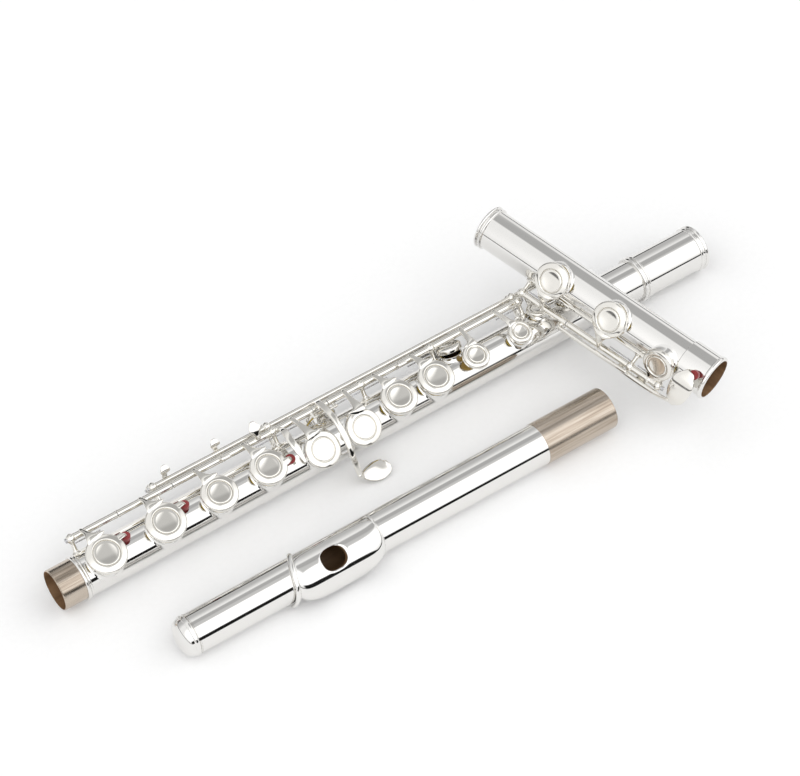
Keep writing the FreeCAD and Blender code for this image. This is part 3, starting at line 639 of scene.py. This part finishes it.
def build_lip_plate():
    around, rings_count = 112, 26
    thick = 1.1
    top, under = [], []
    for k in range(rings_count + 1):
        t = k / rings_count
        upper, lower = [], []
        for i in range(around):
            a = 2 * math.pi * i / around
            u0, v0 = oval(0.0, a)
            x1, y1 = plate_edge(a)
            x, y = HOLE_X + u0 + (x1 - HOLE_X - u0) * t, v0 + (y1 - v0) * t
            z = plate_height(x, y)
            roll = 0.4 * math.exp(-(t / 0.03) ** 2) + 0.5 * math.exp(-((1 - t) / 0.035) ** 2)
            upper.append((x, y, z - roll))
            lower.append((x, y, z - thick + 0.3 * math.exp(-((1 - t) / 0.04) ** 2)))
        top.append(upper)
        under.append(lower)
    rings = top + list(reversed(under)) + [top[0]]
    plate = shell([[Vector(p) for p in ring] for ring in rings], closed_ends=False)
    start = []
    for a in range(-68, 93, 8):
        back = max(14 - a, 0) / 80
        start.append(spot(PLATE_START + 4.6 * back ** 1.5 - 2.6 * max(a - 14, 0) / 80, TUBE_R + 0.75, a))
    bead_edge = bar(start, [2.5] * len(start), [1.9] * len(start), side=(1, 0, 0), steps=2, boxy=2.0)
    end = [spot(PLATE_END - 0.5, TUBE_R + 0.45, a) for a in range(-60, 73, 12)]
    thin_edge = bar(end, [1.2] * len(end), [0.9] * len(end), side=(1, 0, 0), steps=3, boxy=2.0)
    piece("lip_plate_shell", join([plate, bead_edge, thin_edge]), HEAD, TUBE_SILVER, "head_section",
          ["lip_plate"], weighted=False)
    wall = []
    for extra, high in ((0.0, True), (0.0, False), (1.2, False), (1.2, True), (0.0, True)):
        ring = []
        for i in range(around):
            u, v = oval(extra, 2 * math.pi * i / around)
            base = math.sqrt(TUBE_R ** 2 - v ** 2) - 0.2
            ring.append(Vector((HOLE_X + u, v, plate_height(HOLE_X + u, v) - 0.7 if high else base)))
        wall.append(ring)
    riser = piece("lip_riser_wall", shell(wall, closed_ends=False), HEAD, [TUBE_SILVER, BORE],
                  "head_section", ["lip_riser"])
    for face in riser.data.polygons:
        centre = Vector((face.center.x / MM - HOLE_X, face.center.y / MM, 0))
        face.material_index = 1 if face.normal.dot(centre) < 0 else 0


def build_crown():
    """A low dome above a beaded ring, with a skirt that turns inside the tube."""
    dome = [(-7.5, 0.0)]
    for i in range(1, 13):
        a = math.radians(90 * i / 12)
        dome.append((-3.1 - 4.4 * math.cos(a) ** 0.9, 8.8 * math.sin(a) ** 0.95))
    dome += [(-2.95, 8.85), (-2.85, 9.1)]
    dome += [(-1.75 - 1.0 * math.cos(math.radians(a)), 9.0 + 0.6 * math.sin(math.radians(a)))
             for a in (20, 50, 80, 110, 140, 165)]
    dome += [(-0.75, 8.95), (-0.6, 8.95), (-0.5, 9.25), (-0.05, 9.25), (0.0, 8.5), (5.9, 8.5), (5.9, 2.2),
             (-4.65, 2.2), (-4.65, 0.0)]
    piece("crown_cap", lathe(dome, along_x(), 96), HEAD, TUBE_SILVER, "crown", ["crown"])


# ---- keys -----------------------------------------------------------------------------------

CUP_LEN, SMALL_CUP_LEN = 2.6, 1.9
CUP_LIFT = 0.3
CUP_WALL = 0.85
DISH_SAG = 0.34
RIM_SLOPE = 0.24
ARM_SPREAD, SLIM_ARM = 1.25, 0.55
KEY_TUBE_R, KEY_TUBE_BORE = 1.75, 1.15
TRILL_TUBE_R, TRILL_TUBE_BORE = 1.45, 0.85


def cup_shape(x, angle, radius, drop=0.0, height=CUP_LEN):
    """A padded cup: a rolled lower edge, a round shoulder, a raised rim and a shallow dish."""
    dish = radius * 0.63
    roof = height - 0.8
    profile = [(roof, 0.0), (roof, radius - CUP_WALL), (0.05, radius - CUP_WALL), (0.0, radius - 0.5)]
    profile += [(0.05, radius - 0.12), (0.25, radius), (height * 0.45, radius - 0.02)]
    crest = height + 0.06
    run = radius - dish - 1.5
    profile += arc(crest - RIM_SLOPE * run - 1.0, radius - 1.05, 1.03, 85, 15, 6)
    profile += [(crest - RIM_SLOPE * run * 0.45, dish + 0.75 + run * 0.5), (crest, dish + 0.8),
                (crest - 0.06, dish + 0.5), (height - 0.16, dish + 0.32),
                (height - 0.40, dish + 0.14), (height - 0.72, dish + 0.08), (height - 0.72, dish - 0.06),
                (height - 0.36, dish - 0.12), (height - 0.16, dish - 0.34), (height - 0.13, dish - 0.6)]
    bowl = dish - 0.6
    profile += [(height - 0.13 - DISH_SAG * (1 - (r / bowl) ** 2), r)
                for r in (bowl * 0.85, bowl * 0.7, bowl * 0.5, bowl * 0.3, bowl * 0.12)]
    profile += [(height - 0.13 - DISH_SAG, 0.0)]
    return lathe(profile, out_of_tube(x, SEAT + CUP_LIFT - drop, angle), 80)


def pad_shape(x, angle, radius, drop=0.0, height=CUP_LEN):
    r = radius - CUP_WALL - 0.03
    top = CUP_LIFT + height - 0.85
    profile = [(0.06, 0.0), (0.06, r * 0.5), (0.08, r * 0.86)] + arc(0.5, r - 0.42, 0.42, 180, 90, 5)
    profile += [(top, r), (top, 0.0)]
    return lathe(profile, out_of_tube(x, SEAT - drop, angle), 64)


def hinge_tube(start, end, hinge, radius=KEY_TUBE_R, bore=KEY_TUBE_BORE):
    """A hinge tube with a faint collar at each end."""
    profile = [(start, bore), (start, radius - 0.15), (start + 0.15, radius), (start + 0.9, radius),
               (start + 1.0, radius - 0.12), (end - 1.0, radius - 0.12), (end - 0.9, radius),
               (end - 0.15, radius), (end, radius - 0.15), (end, bore), (start, bore)]
    return lathe(profile, along_x(0, hinge.y, hinge.z), 28)


def pointed_arm(x, shift, hinge, angle, radius, drop=0.0, height=CUP_LEN):
    """The pointed arm: as wide as the cup's flank where it leaves the rim, narrow on its tube."""
    reach = SEAT + CUP_LIFT + height - 0.75 - drop
    a = math.radians(angle)
    lateral = Vector((0, math.cos(a), math.sin(a)))
    way = 1.0 if Vector((0, hinge.y, hinge.z)).dot(lateral) > 0 else -1.0
    rim = spot(x, reach, angle)
    start = rim + lateral * way * (radius - 2.0) + Vector((shift * 0.25, 0, 0))
    flank = rim + lateral * way * (radius + 0.6) + Vector((shift * 0.6, 0, 0))
    top = Vector((x + shift, hinge.y, hinge.z))
    out = Vector((0, hinge.y, hinge.z)).normalized()
    ridge = top + out * 0.9
    half = (flank + ridge) / 2 + out * 0.35
    wide = radius * ARM_SPREAD
    slim = SLIM_ARM if height < CUP_LEN else 1.0
    thicks = [thick * slim for thick in (1.3, 1.6, 1.9, 2.4, 2.2)]
    return bar([start, flank, half, ridge, top - out * 0.6], [wide, wide * 0.5, 2.6, 2.3, 2.2],
               thicks, side=(1, 0, 0), steps=6, around=18, boxy=2.1)


def key(name, cup, span, hinge, section, extras=(), shift=-3.0, tube_r=KEY_TUBE_R, bore=KEY_TUBE_BORE,
        height=CUP_LEN, angle_open=0.0):
    """One key casting and its pad, drawn closed and then opened about its hinge."""
    x, angle, radius, drop = cup
    pivot = pivot_at(hinge, angle_open)
    shapes = [cup_shape(x, angle, radius, drop, height), hinge_tube(*span, hinge, tube_r, bore),
              pointed_arm(x, shift, hinge, angle, radius, drop, height)]
    body = BODY_OF[name]
    piece(name + "_casting", join(shapes + list(extras)), section, KEY_SILVER, body,
          [name], pivot)
    pad = name.replace("_key", "_pad")
    piece(pad + "_disc", pad_shape(x, angle, radius, drop, height), section, PAD, body, [pad], pivot)


SPANS = {"d_key": (17.1, 38.7), "e_key": (39.0, 66.7), "f_key": (67.0, 92.7),
         "f_sharp_key": (93.0, 106.6), "b_flat_lever": (106.9, 118.3), "lower_g_key": (121.3, 140.9),
         "g_sharp_key": (141.2, 149.0), "upper_g_key": (149.3, 166.1), "a_key": (169.1, 188.0),
         "b_flat_key": (188.3, 204.8), "c_key": (207.8, 255.1), "thumb_key": (204.9, 224.1),
         "foot_c_key": (35.3, 60.0), "foot_c_sharp_key": (60.3, 95.2), "foot_d_sharp_key": (98.0, 111.2)}
TRILL_SPAN = (61.4, 285.6)
STOPPED = {"d_key": -18.5, "e_key": -18.5, "f_sharp_key": 5.0}
FELT_OUT = 2.5


def stop_tab(x, radius, angle):
    """The tab beside a cup that carries its bumper felt."""
    return bar([spot(x + radius - 1.5, 14.0, angle + 3), spot(x + radius + 1.0, 13.7, angle + 1),
                spot(x + radius + FELT_OUT, 12.7, angle)], [3.4, 2.8, 2.2], [1.1, 1.0, 0.9], steps=4)


def felt_disc(name, node, place, low, high, section, pivot, material, radius=2.2):
    shape = lathe([(low, 0.0), (low, radius - 0.25), (low + 0.2, radius), (high - 0.15, radius + 0.1),
                   (high, radius - 0.1), (high, 0.0)], place, 28)
    piece(name, shape, section, material, BODY_OF[node], [node], pivot)


def clutch(x, reach):
    """A finger on one key's tube that lies over the lug of the key beside it."""
    return bar([Vector((x, MAIN.y - 0.8, MAIN.z + 1.2)), Vector((x + 0.6, 13.6, 11.9)),
                Vector((x + reach, 13.6, 11.9))], [1.8, 1.7, 1.4], [1.1, 1.1, 1.0], side=(0.2, -1, -0.5),
               steps=4)


def lug(x):
    return bar([Vector((x, MAIN.y - 0.6, MAIN.z + 0.6)), Vector((x, 13.6, 10.5))], [1.8, 1.5], [1.3, 1.1],
               side=(1, 0, 0), steps=3)


def build_body_keys():
    opened = -JOINTS["f_key_hinge"]["range_deg"][1]
    pivot = pivot_at(MAIN, opened)
    fittings = {"f_key": [clutch(91.5, 4.3)], "f_sharp_key": [lug(96.2)], "a_key": [clutch(186.8, 4.3)],
                "b_flat_key": [lug(191.4)]}
    for name in ("d_key", "e_key", "f_key", "f_sharp_key", "a_key", "b_flat_key"):
        x, _, radius, _ = CUPS[name]
        extras = fittings.get(name, [])
        if name in STOPPED:
            extras = extras + [stop_tab(x, radius, STOPPED[name])]
            node = name.replace("_key", "_felt")
            place = out_of_tube(x + radius + FELT_OUT, 0, STOPPED[name])
            felt_disc(node + "_disc", node, place, TUBE_R + 0.15, 12.3, BODY, pivot, RED_FELT)
        key(name, CUPS[name], SPANS[name], MAIN, BODY, extras, angle_open=opened)

    link = bar([Vector((139.8, 14.4, 9.2)), Vector((139.8, 11.6, 9.9)), Vector((141.5, 11.5, 9.9)),
                Vector((152.0, 11.5, 9.9))], [1.6] * 4, [1.1] * 4, steps=4)
    finger = bar([Vector((122.8, 14.6, 9.6)), spot(122.6, 18.0, -38), spot(121.9, 16.9, -18),
                  spot(122.2, 16.0, 0), spot(122.9, 15.2, 24)], [2.4, 3.0, 3.4, 3.2, 1.4],
                 [1.4, 1.5, 1.5, 1.3, 0.9], steps=8)
    key("lower_g_key", CUPS["lower_g_key"], SPANS["lower_g_key"], MAIN, BODY, [link, finger],
        angle_open=opened)
    catch = bar([Vector((151.6, 14.4, 8.3)), Vector((151.6, 11.6, 8.5))], [1.6, 1.4], [1.1, 1.0],
                side=(1, 0, 0))
    key("upper_g_key", CUPS["upper_g_key"], SPANS["upper_g_key"], MAIN, BODY, [catch], shift=3.0,
        angle_open=opened)
    build_g_sharp()
    build_c_key(opened)
    build_thumb_key()
    build_trills()
    lever = bar([Vector((112.0, 15.4, 9.8)), Vector((112.0, 17.0, 11.4)), Vector((112.0, 19.2, 12.8)),
                 Vector((112.0, 22.2, 13.5))], [3.0, 3.6, 6.0, 2.8], [2.0, 1.6, 1.5, 1.0],
                side=(1, 0, 0), steps=8)
    piece("b_flat_lever_casting", join([hinge_tube(*SPANS["b_flat_lever"], MAIN), lever]), BODY, KEY_SILVER,
          "b_flat_lever", ["b_flat_lever"])


def build_g_sharp():
    """A see-saw: the spoon in front, the cup behind the tube, the hinge between."""
    x = 144.7
    lever = bar([Vector((x, MAIN.y - 0.6, MAIN.z + 1.0)), spot(x, 20.0, -55), spot(x, 18.7, -22),
                 spot(x, 17.7, 15), spot(x, 18.2, 50), spot(x + 1.5, 20.3, 80)],
                [2.6, 3.0, 3.0, 3.0, 2.8, 2.6], [2.2, 1.9, 1.7, 1.7, 1.7, 1.8], steps=8)
    spoon = bar([spot(x + 1.2, 20.4, 80), Vector((x + 3.2, -20.8, 1.9)), Vector((x + 6.5, -21.4, 1.2)),
                 Vector((x + 11.0, -21.8, 1.0)), Vector((x + 15.0, -21.6, 1.4)),
                 Vector((x + 16.6, -21.2, 1.8))],
                [2.8, 4.2, 7.6, 9.6, 8.0, 4.0], [1.8, 1.6, 1.4, 1.3, 1.2, 1.0], side=(0, 1, 0), steps=6,
                boxy=2.2)
    key("g_sharp_key", CUPS["g_sharp_key"], SPANS["g_sharp_key"], MAIN, BODY, [lever, spoon], shift=-1.0)


def build_c_key(opened):
    x = 221.1
    touch = cup_shape(x, 0.0, TOUCH_CUP)
    touch_arm = pointed_arm(x, 2.9, MAIN, 0.0, TOUCH_CUP)
    key("c_key", CUPS["c_key"], SPANS["c_key"], MAIN, BODY, [touch, touch_arm], angle_open=opened)
    r = TOUCH_CUP - CUP_WALL - 0.05
    shape = lathe([(-0.6, 0.0), (-0.6, r - 0.3), (-0.45, r), (1.72, r), (1.72, 0.0)],
                  out_of_tube(x, SEAT + CUP_LIFT, 0), 48)
    piece("c_touch_felt_disc", shape, BODY, GOLD_FELT, "c_key", ["c_touch_felt"],
          pivot_at(MAIN, opened))


def build_thumb_key():
    x, angle, radius, drop = CUPS["thumb_key"]
    wrap = bar([Vector((x, THUMB.y + 0.6, THUMB.z)), spot(x, 15.6, -122), spot(x, 15.7, -98),
                spot(x, 14.0, -79)], [2.6, 3.4, 3.6, 5.0], [1.8, 1.5, 1.4, 1.2], side=(1, 0, 0), steps=6)
    plate = bar([spot(x - 9, 16.3, -112), spot(x - 5, 16.6, -110), spot(x + 1, 16.3, -112)], [8.0, 11.0, 6.0],
                [1.2, 1.3, 1.1], steps=6)
    opened = -JOINTS["thumb_key_hinge"]["range_deg"][1]
    pivot = pivot_at(THUMB, opened)
    shapes = [cup_shape(x, angle, radius, drop), hinge_tube(*SPANS["thumb_key"], THUMB), wrap, plate]
    piece("thumb_key_casting", join(shapes), BODY, KEY_SILVER, "thumb_key", ["thumb_key"],
          pivot)
    piece("thumb_pad_disc", pad_shape(x, angle, radius, drop), BODY, PAD, "thumb_key", ["thumb_pad"],
          pivot)


def build_trills():
    """Two long tubes, each with a side touch near the tenon and a small closed cup near the barrel."""
    for name, hinge, touch_x in (("d_trill_key", D_TRILL, 94.0),
                                 ("d_sharp_trill_key", D_SHARP_TRILL, 68.0)):
        paddle = bar([Vector((touch_x, hinge.y + 0.8, hinge.z)), Vector((touch_x, 22.2, 4.8)),
                      Vector((touch_x, 22.2, 8.0)), Vector((touch_x, 24.4, 9.3))], [2.4, 2.8, 5.0, 2.6],
                     [1.6, 1.4, 1.2, 0.9], side=(1, 0, 0), steps=6)
        key(name, CUPS[name], TRILL_SPAN, hinge, BODY, [paddle], shift=0.0, tube_r=TRILL_TUBE_R,
            bore=TRILL_TUBE_BORE, height=SMALL_CUP_LEN)


# ---- posts, ribs, steels --------------------------------------------------------------------

RIB = 0.7
BALL_R = 2.25


def hinge_angle(hinge):
    """The angle on the tube at which a hinge line lies."""
    return math.degrees(math.atan2(-hinge.y, hinge.z))


def post_shape(x, hinge):
    """A turned post on a flared foot, with a ball round the hinge line."""
    reach = math.hypot(hinge.y, hinge.z)
    foot = TUBE_R + RIB
    profile = [(foot - 0.1, 0.0), (foot - 0.1, 2.0), (foot + 0.15, 2.05), (foot + 0.5, 1.6),
               (foot + 0.9, 1.25), (foot + 1.4, 1.1), (reach - 2.4, 1.0), (reach - 2.0, 1.2)]
    profile += [(reach - BALL_R * math.cos(math.radians(a)), BALL_R * math.sin(math.radians(a)))
                for a in (34, 50, 65, 80, 95, 110, 125, 140, 155, 168)]
    profile += [(reach + 2.35, 0.25), (reach + 2.36, 0.0)]
    return lathe(profile, out_of_tube(x, 0, hinge_angle(hinge)), 32)


def rib_shape(start, end, angle, width=4.0):
    """A soldered strap that hugs the tube, with bevelled long edges and round ends."""
    half = math.degrees(width / 2 / (TUBE_R + RIB))
    rings = []
    stations = 24
    for k in range(stations + 1):
        x = start + (end - start) * k / stations
        near = min(x - start, end - x)
        pinch = math.sqrt(max(1 - (1 - min(near / (width / 2), 1.0)) ** 2, 0.02))
        span = half * pinch
        upper = [spot(x, TUBE_R + RIB, angle + span * f) for f in (-0.9, -0.45, 0.0, 0.45, 0.9)]
        lower = [spot(x, TUBE_R - 0.05, angle + span * f) for f in (1.0, 0.5, 0.0, -0.5, -1.0)]
        rings.append(upper + [spot(x, TUBE_R + RIB * 0.6, angle + span)] + lower
                     + [spot(x, TUBE_R + RIB * 0.6, angle - span)])
    return shell(rings)


MAIN_POSTS = (15.6, 119.8, 167.6, 206.3, 256.6)
TRILL_POSTS = (60.0, 119.8, 256.6, 287.0)
THUMB_POSTS = (203.5, 225.5)
FOOT_POSTS = (33.9, 96.6, 112.6)


def build_posts():
    main, trill, sharp = hinge_angle(MAIN), hinge_angle(D_TRILL), hinge_angle(D_SHARP_TRILL)
    shapes = [post_shape(x, MAIN) for x in MAIN_POSTS]
    shapes += [post_shape(x, hinge) for x in TRILL_POSTS for hinge in (D_TRILL, D_SHARP_TRILL)]
    shapes += [post_shape(x, THUMB) for x in THUMB_POSTS]
    piece("ball_posts", join(shapes), BODY, KEY_SILVER, "body_section", ["posts"])
    straps = [rib_shape(14.1, 124.0, main), rib_shape(57.5, 124.0, trill, 3.4),
              rib_shape(57.5, 124.0, sharp, 3.4), rib_shape(164.4, 209.0, main),
              rib_shape(254.4, 290.0, trill, 3.4), rib_shape(254.4, 290.0, sharp, 3.4),
              rib_shape(254.4, 259.0, main)]
    piece("rib_straps", join(straps), BODY, KEY_SILVER, "body_section", ["ribs"])


def build_foot():
    length = FOOT_LEN - 15.0
    drilled_tube("foot_tube_wall", "foot_tube", FOOT, 0.0, length, FOOT_CUPS, "foot_section")
    beads = [(0.0, TUBE_R)] + bead(0.0, 1.7, 1.0) + [(2.1, TUBE_R + 0.05)] + bead(2.3, 1.5, 0.85)
    sleeve("foot_end_beads", ["foot_end_rings"], tube_profile(beads, [(0.0, TUBE_R), (3.8, TUBE_R)]), FOOT,
           "foot_section")
    wall = FOOT_SLEEVE_R
    socket_r = SOCKET["dims"]["r_mm"]
    outer = [(length - 1, TUBE_R), (length - 0.8, wall - 0.2), (length - 0.5, wall), (FOOT_LEN - 2.3, wall)]
    outer += bead(FOOT_LEN - 2.1, 2.0, 0.55, wall) + [(FOOT_LEN, wall - 0.2)]
    inner = [(length - 1, TUBE_R), (length, TUBE_R), (length, socket_r), (FOOT_LEN, socket_r)]
    sleeve("foot_socket_sleeve", ["foot_socket"], tube_profile(outer, inner), FOOT, "foot_section",
           bore=socket_r + 0.1)
    angle = hinge_angle(FOOT_HINGE)
    piece("foot_ball_posts", join([post_shape(x, FOOT_HINGE) for x in FOOT_POSTS]), FOOT, KEY_SILVER,
          "foot_section", ["foot_posts"])
    piece("foot_rib_strap", rib_shape(31.6, 115.0, angle, 4.4), FOOT, KEY_SILVER, "foot_section",
          ["foot_rib"])
    build_foot_keys()


def build_foot_keys():
    opened = JOINTS["foot_c_key_hinge"]["range_deg"][1]
    h = FOOT_HINGE
    lever = bar([Vector((58, h.y, h.z)) + spot(0, 1.0, 65), spot(58.5, 20.4, 63), spot(64, 20.7, 61),
                 spot(80, 20.7, 60), spot(97, 20.6, 58)], [3.0, 3.2, 3.0, 3.0, 3.2],
                [1.8, 2.0, 2.2, 2.2, 2.0], steps=6, boxy=2.1)
    key("foot_c_key", FOOT_CUPS["foot_c_key"], SPANS["foot_c_key"], h, FOOT, [lever], shift=0.0,
        angle_open=opened)
    petal_lever = bar([Vector((93, h.y, h.z)) + spot(0, 1.0, 68), spot(93.5, 20.2, 68), spot(99, 20.5, 68),
                       spot(113, 20.5, 67), spot(121, 20.0, 61)], [3.0, 3.2, 3.2, 3.4, 4.0],
                      [1.8, 2.2, 2.6, 2.4, 1.6], steps=6, boxy=2.1)
    petal = bar([spot(122, 20.0, 62), spot(123.4, 18.6, 48), spot(124, 16.4, 30), spot(124.4, 15.0, 12),
                 spot(125, 14.2, -4)], [4.0, 9.0, 11.4, 10.4, 4.6], [1.5, 1.6, 1.5, 1.4, 1.1], side=(1, 0, 0),
                steps=8)
    felt_disc("foot_c_sharp_felt_disc", "foot_c_sharp_felt", out_of_tube(126.4, 0, -3.0), 10.75, 13.5, FOOT,
              pivot_at(h, opened), RED_FELT)
    key("foot_c_sharp_key", FOOT_CUPS["foot_c_sharp_key"], SPANS["foot_c_sharp_key"], h, FOOT,
        [petal_lever, petal], shift=0.0, angle_open=opened)
    spoon = bar([Vector((104, h.y, h.z)) + spot(0, 0.6, 90), spot(104, 20.6, 80), spot(104, 21.6, 90),
                 spot(104, 22.0, 103)], [4.0, 8.0, 12.0, 9.0], [2.0, 1.6, 1.5, 1.2], side=(1, 0, 0), steps=6)
    key("foot_d_sharp_key", FOOT_CUPS["foot_d_sharp_key"], SPANS["foot_d_sharp_key"], h, FOOT, [spoon],
        shift=-2.0)


def paint_cad(materials):
    """Gives the CAD nodes that stay as they are their materials."""
    for name, material in materials.items():
        mesh = frame["nodes"][name].data
        mesh.materials.clear()
        mesh.materials.append(material)


build_body_tube()
build_head()
build_body_keys()
build_posts()
build_foot()
paint_cad({"hinge_steels": STEEL, "needle_springs": STEEL, "foot_steel": STEEL, "foot_springs": STEEL,
           "stopper_rod": KEY_SILVER, "stopper_cork": CORK})

# ---- floor, light and camera ----------------------------------------------------------------

CAMERA_AZIMUTH, CAMERA_ELEVATION, CAMERA_DISTANCE = -35.15, 49.36, 1.2168
CAMERA_LENS = 117.56
AIM = Vector((0.0156, 0.03535, 0.0))
FLOOR_HALF = 4.0
WORLD_STRENGTH = 1.12


def build_stage():
    mesh = bpy.data.meshes.new("floor")
    far = FLOOR_HALF
    mesh.from_pydata([(-far, -far, 0), (far, -far, 0), (far, far, 0), (-far, far, 0)], [], [(0, 1, 2, 3)])
    floor = bpy.data.objects.new("floor", mesh)
    bpy.context.scene.collection.objects.link(floor)
    n = Nodes("pale_floor")
    grain = n.noise(n.coords, 400.0, 4.0)
    n.set(Base_Color=n.ramp(grain, [(0.3, (0.93, 0.93, 0.93)), (0.7, (0.95, 0.95, 0.95))]), Roughness=0.9)
    mesh.materials.append(n.material)


class Sky:
    """Node helpers for the studio's light, which depends only on the direction."""

    def __init__(self, tree):
        self.tree = tree
        coords = tree.nodes.new("ShaderNodeTexCoord")
        split = tree.nodes.new("ShaderNodeSeparateXYZ")
        tree.links.new(coords.outputs["Generated"], split.inputs["Vector"])
        self.x, self.y, self.z = (split.outputs[axis] for axis in "XYZ")

    def math(self, operation, first, second):
        node = self.tree.nodes.new("ShaderNodeMath")
        node.operation = operation
        for socket, value in zip(node.inputs, (first, second)):
            if isinstance(value, bpy.types.NodeSocket):
                self.tree.links.new(value, socket)
            else:
                socket.default_value = value
        return node.outputs[0]

    def rise(self, value, low, high):
        """0 below low and 1 above high, or the other way round when low is the larger."""
        node = self.tree.nodes.new("ShaderNodeMapRange")
        node.interpolation_type = "SMOOTHSTEP"
        self.tree.links.new(value, node.inputs["Value"])
        start, end = min(low, high), max(low, high)
        node.inputs["From Min"].default_value, node.inputs["From Max"].default_value = start, end
        node.inputs["To Min"].default_value = 0.0 if low < high else 1.0
        node.inputs["To Max"].default_value = 1.0 if low < high else 0.0
        return node.outputs["Result"]

    def all(self, *values):
        product = values[0]
        for value in values[1:]:
            product = self.math("MULTIPLY", product, value)
        return product

    def shade(self, light, mask, value):
        """Pulls the light towards a value where the mask is 1."""
        change = self.math("MULTIPLY", mask, self.math("SUBTRACT", value, light))
        return self.math("ADD", light, change)


def build_world():
    """A white studio with a grey panel high behind the right, and a dark gap low round the front."""
    world = bpy.data.worlds.new("studio")
    bpy.context.scene.world = world
    world.use_nodes = True
    sky = Sky(world.node_tree)
    off_axis = sky.math("SUBTRACT", sky.x, 0.375)
    near_side = sky.rise(sky.math("SUBTRACT", sky.y, sky.math("MULTIPLY", off_axis, 0.8)), -0.17, -0.05)
    far_side = sky.rise(sky.math("SUBTRACT", sky.y, sky.math("MULTIPLY", off_axis, 0.3)), 0.46, 0.36)
    panel = sky.all(sky.rise(sky.x, 0.04, 0.16), near_side, far_side, sky.rise(sky.z, 0.38, 0.5))
    core = sky.rise(sky.y, 0.04, 0.14)
    top_of_gap = sky.math("SUBTRACT", 0.59, sky.math("MULTIPLY", sky.x, 0.94))
    top_of_gap = sky.math("MAXIMUM", sky.math("MINIMUM", top_of_gap, 0.32), 0.12)
    under_top = sky.rise(sky.math("SUBTRACT", sky.z, top_of_gap), 0.0, -0.03)
    gap = sky.all(sky.rise(sky.z, 0.0, 0.02), under_top, sky.rise(sky.x, -0.45, -0.25))
    left_gap = sky.all(sky.rise(sky.z, 0.0, 0.02), sky.rise(sky.z, 0.1, 0.07), sky.rise(sky.x, -0.25, -0.45))
    front = sky.all(sky.rise(sky.y, 0.15, -0.25), sky.rise(sky.z, 0.12, 0.45))
    light = sky.math("ADD", 0.92, sky.math("MULTIPLY", front, 0.45))
    light = sky.shade(light, sky.rise(sky.y, 0.42, 0.8), 0.5)
    light = sky.shade(light, panel, sky.math("ADD", 0.60, sky.math("MULTIPLY", core, -0.16)))
    light = sky.shade(light, gap, 0.012)
    light = sky.shade(light, left_gap, 0.15)
    background = world.node_tree.nodes["Background"]
    world.node_tree.links.new(light, background.inputs["Color"])
    background.inputs["Strength"].default_value = WORLD_STRENGTH


def build_camera():
    data = bpy.data.cameras.new("camera")
    data.lens = CAMERA_LENS
    data.sensor_width = 36.0
    data.clip_end = 20.0
    camera = bpy.data.objects.new("camera", data)
    bpy.context.scene.collection.objects.link(camera)
    a, e = math.radians(CAMERA_AZIMUTH), math.radians(CAMERA_ELEVATION)
    back = Vector((math.sin(a) * math.cos(e), -math.cos(a) * math.cos(e), math.sin(e)))
    camera.location = AIM + back * CAMERA_DISTANCE
    camera.rotation_euler = back.to_track_quat("Z", "Y").to_euler()
    bpy.context.scene.camera = camera


build_stage()
build_world()
build_camera()
bpy.context.scene.view_settings.view_transform = "Standard"
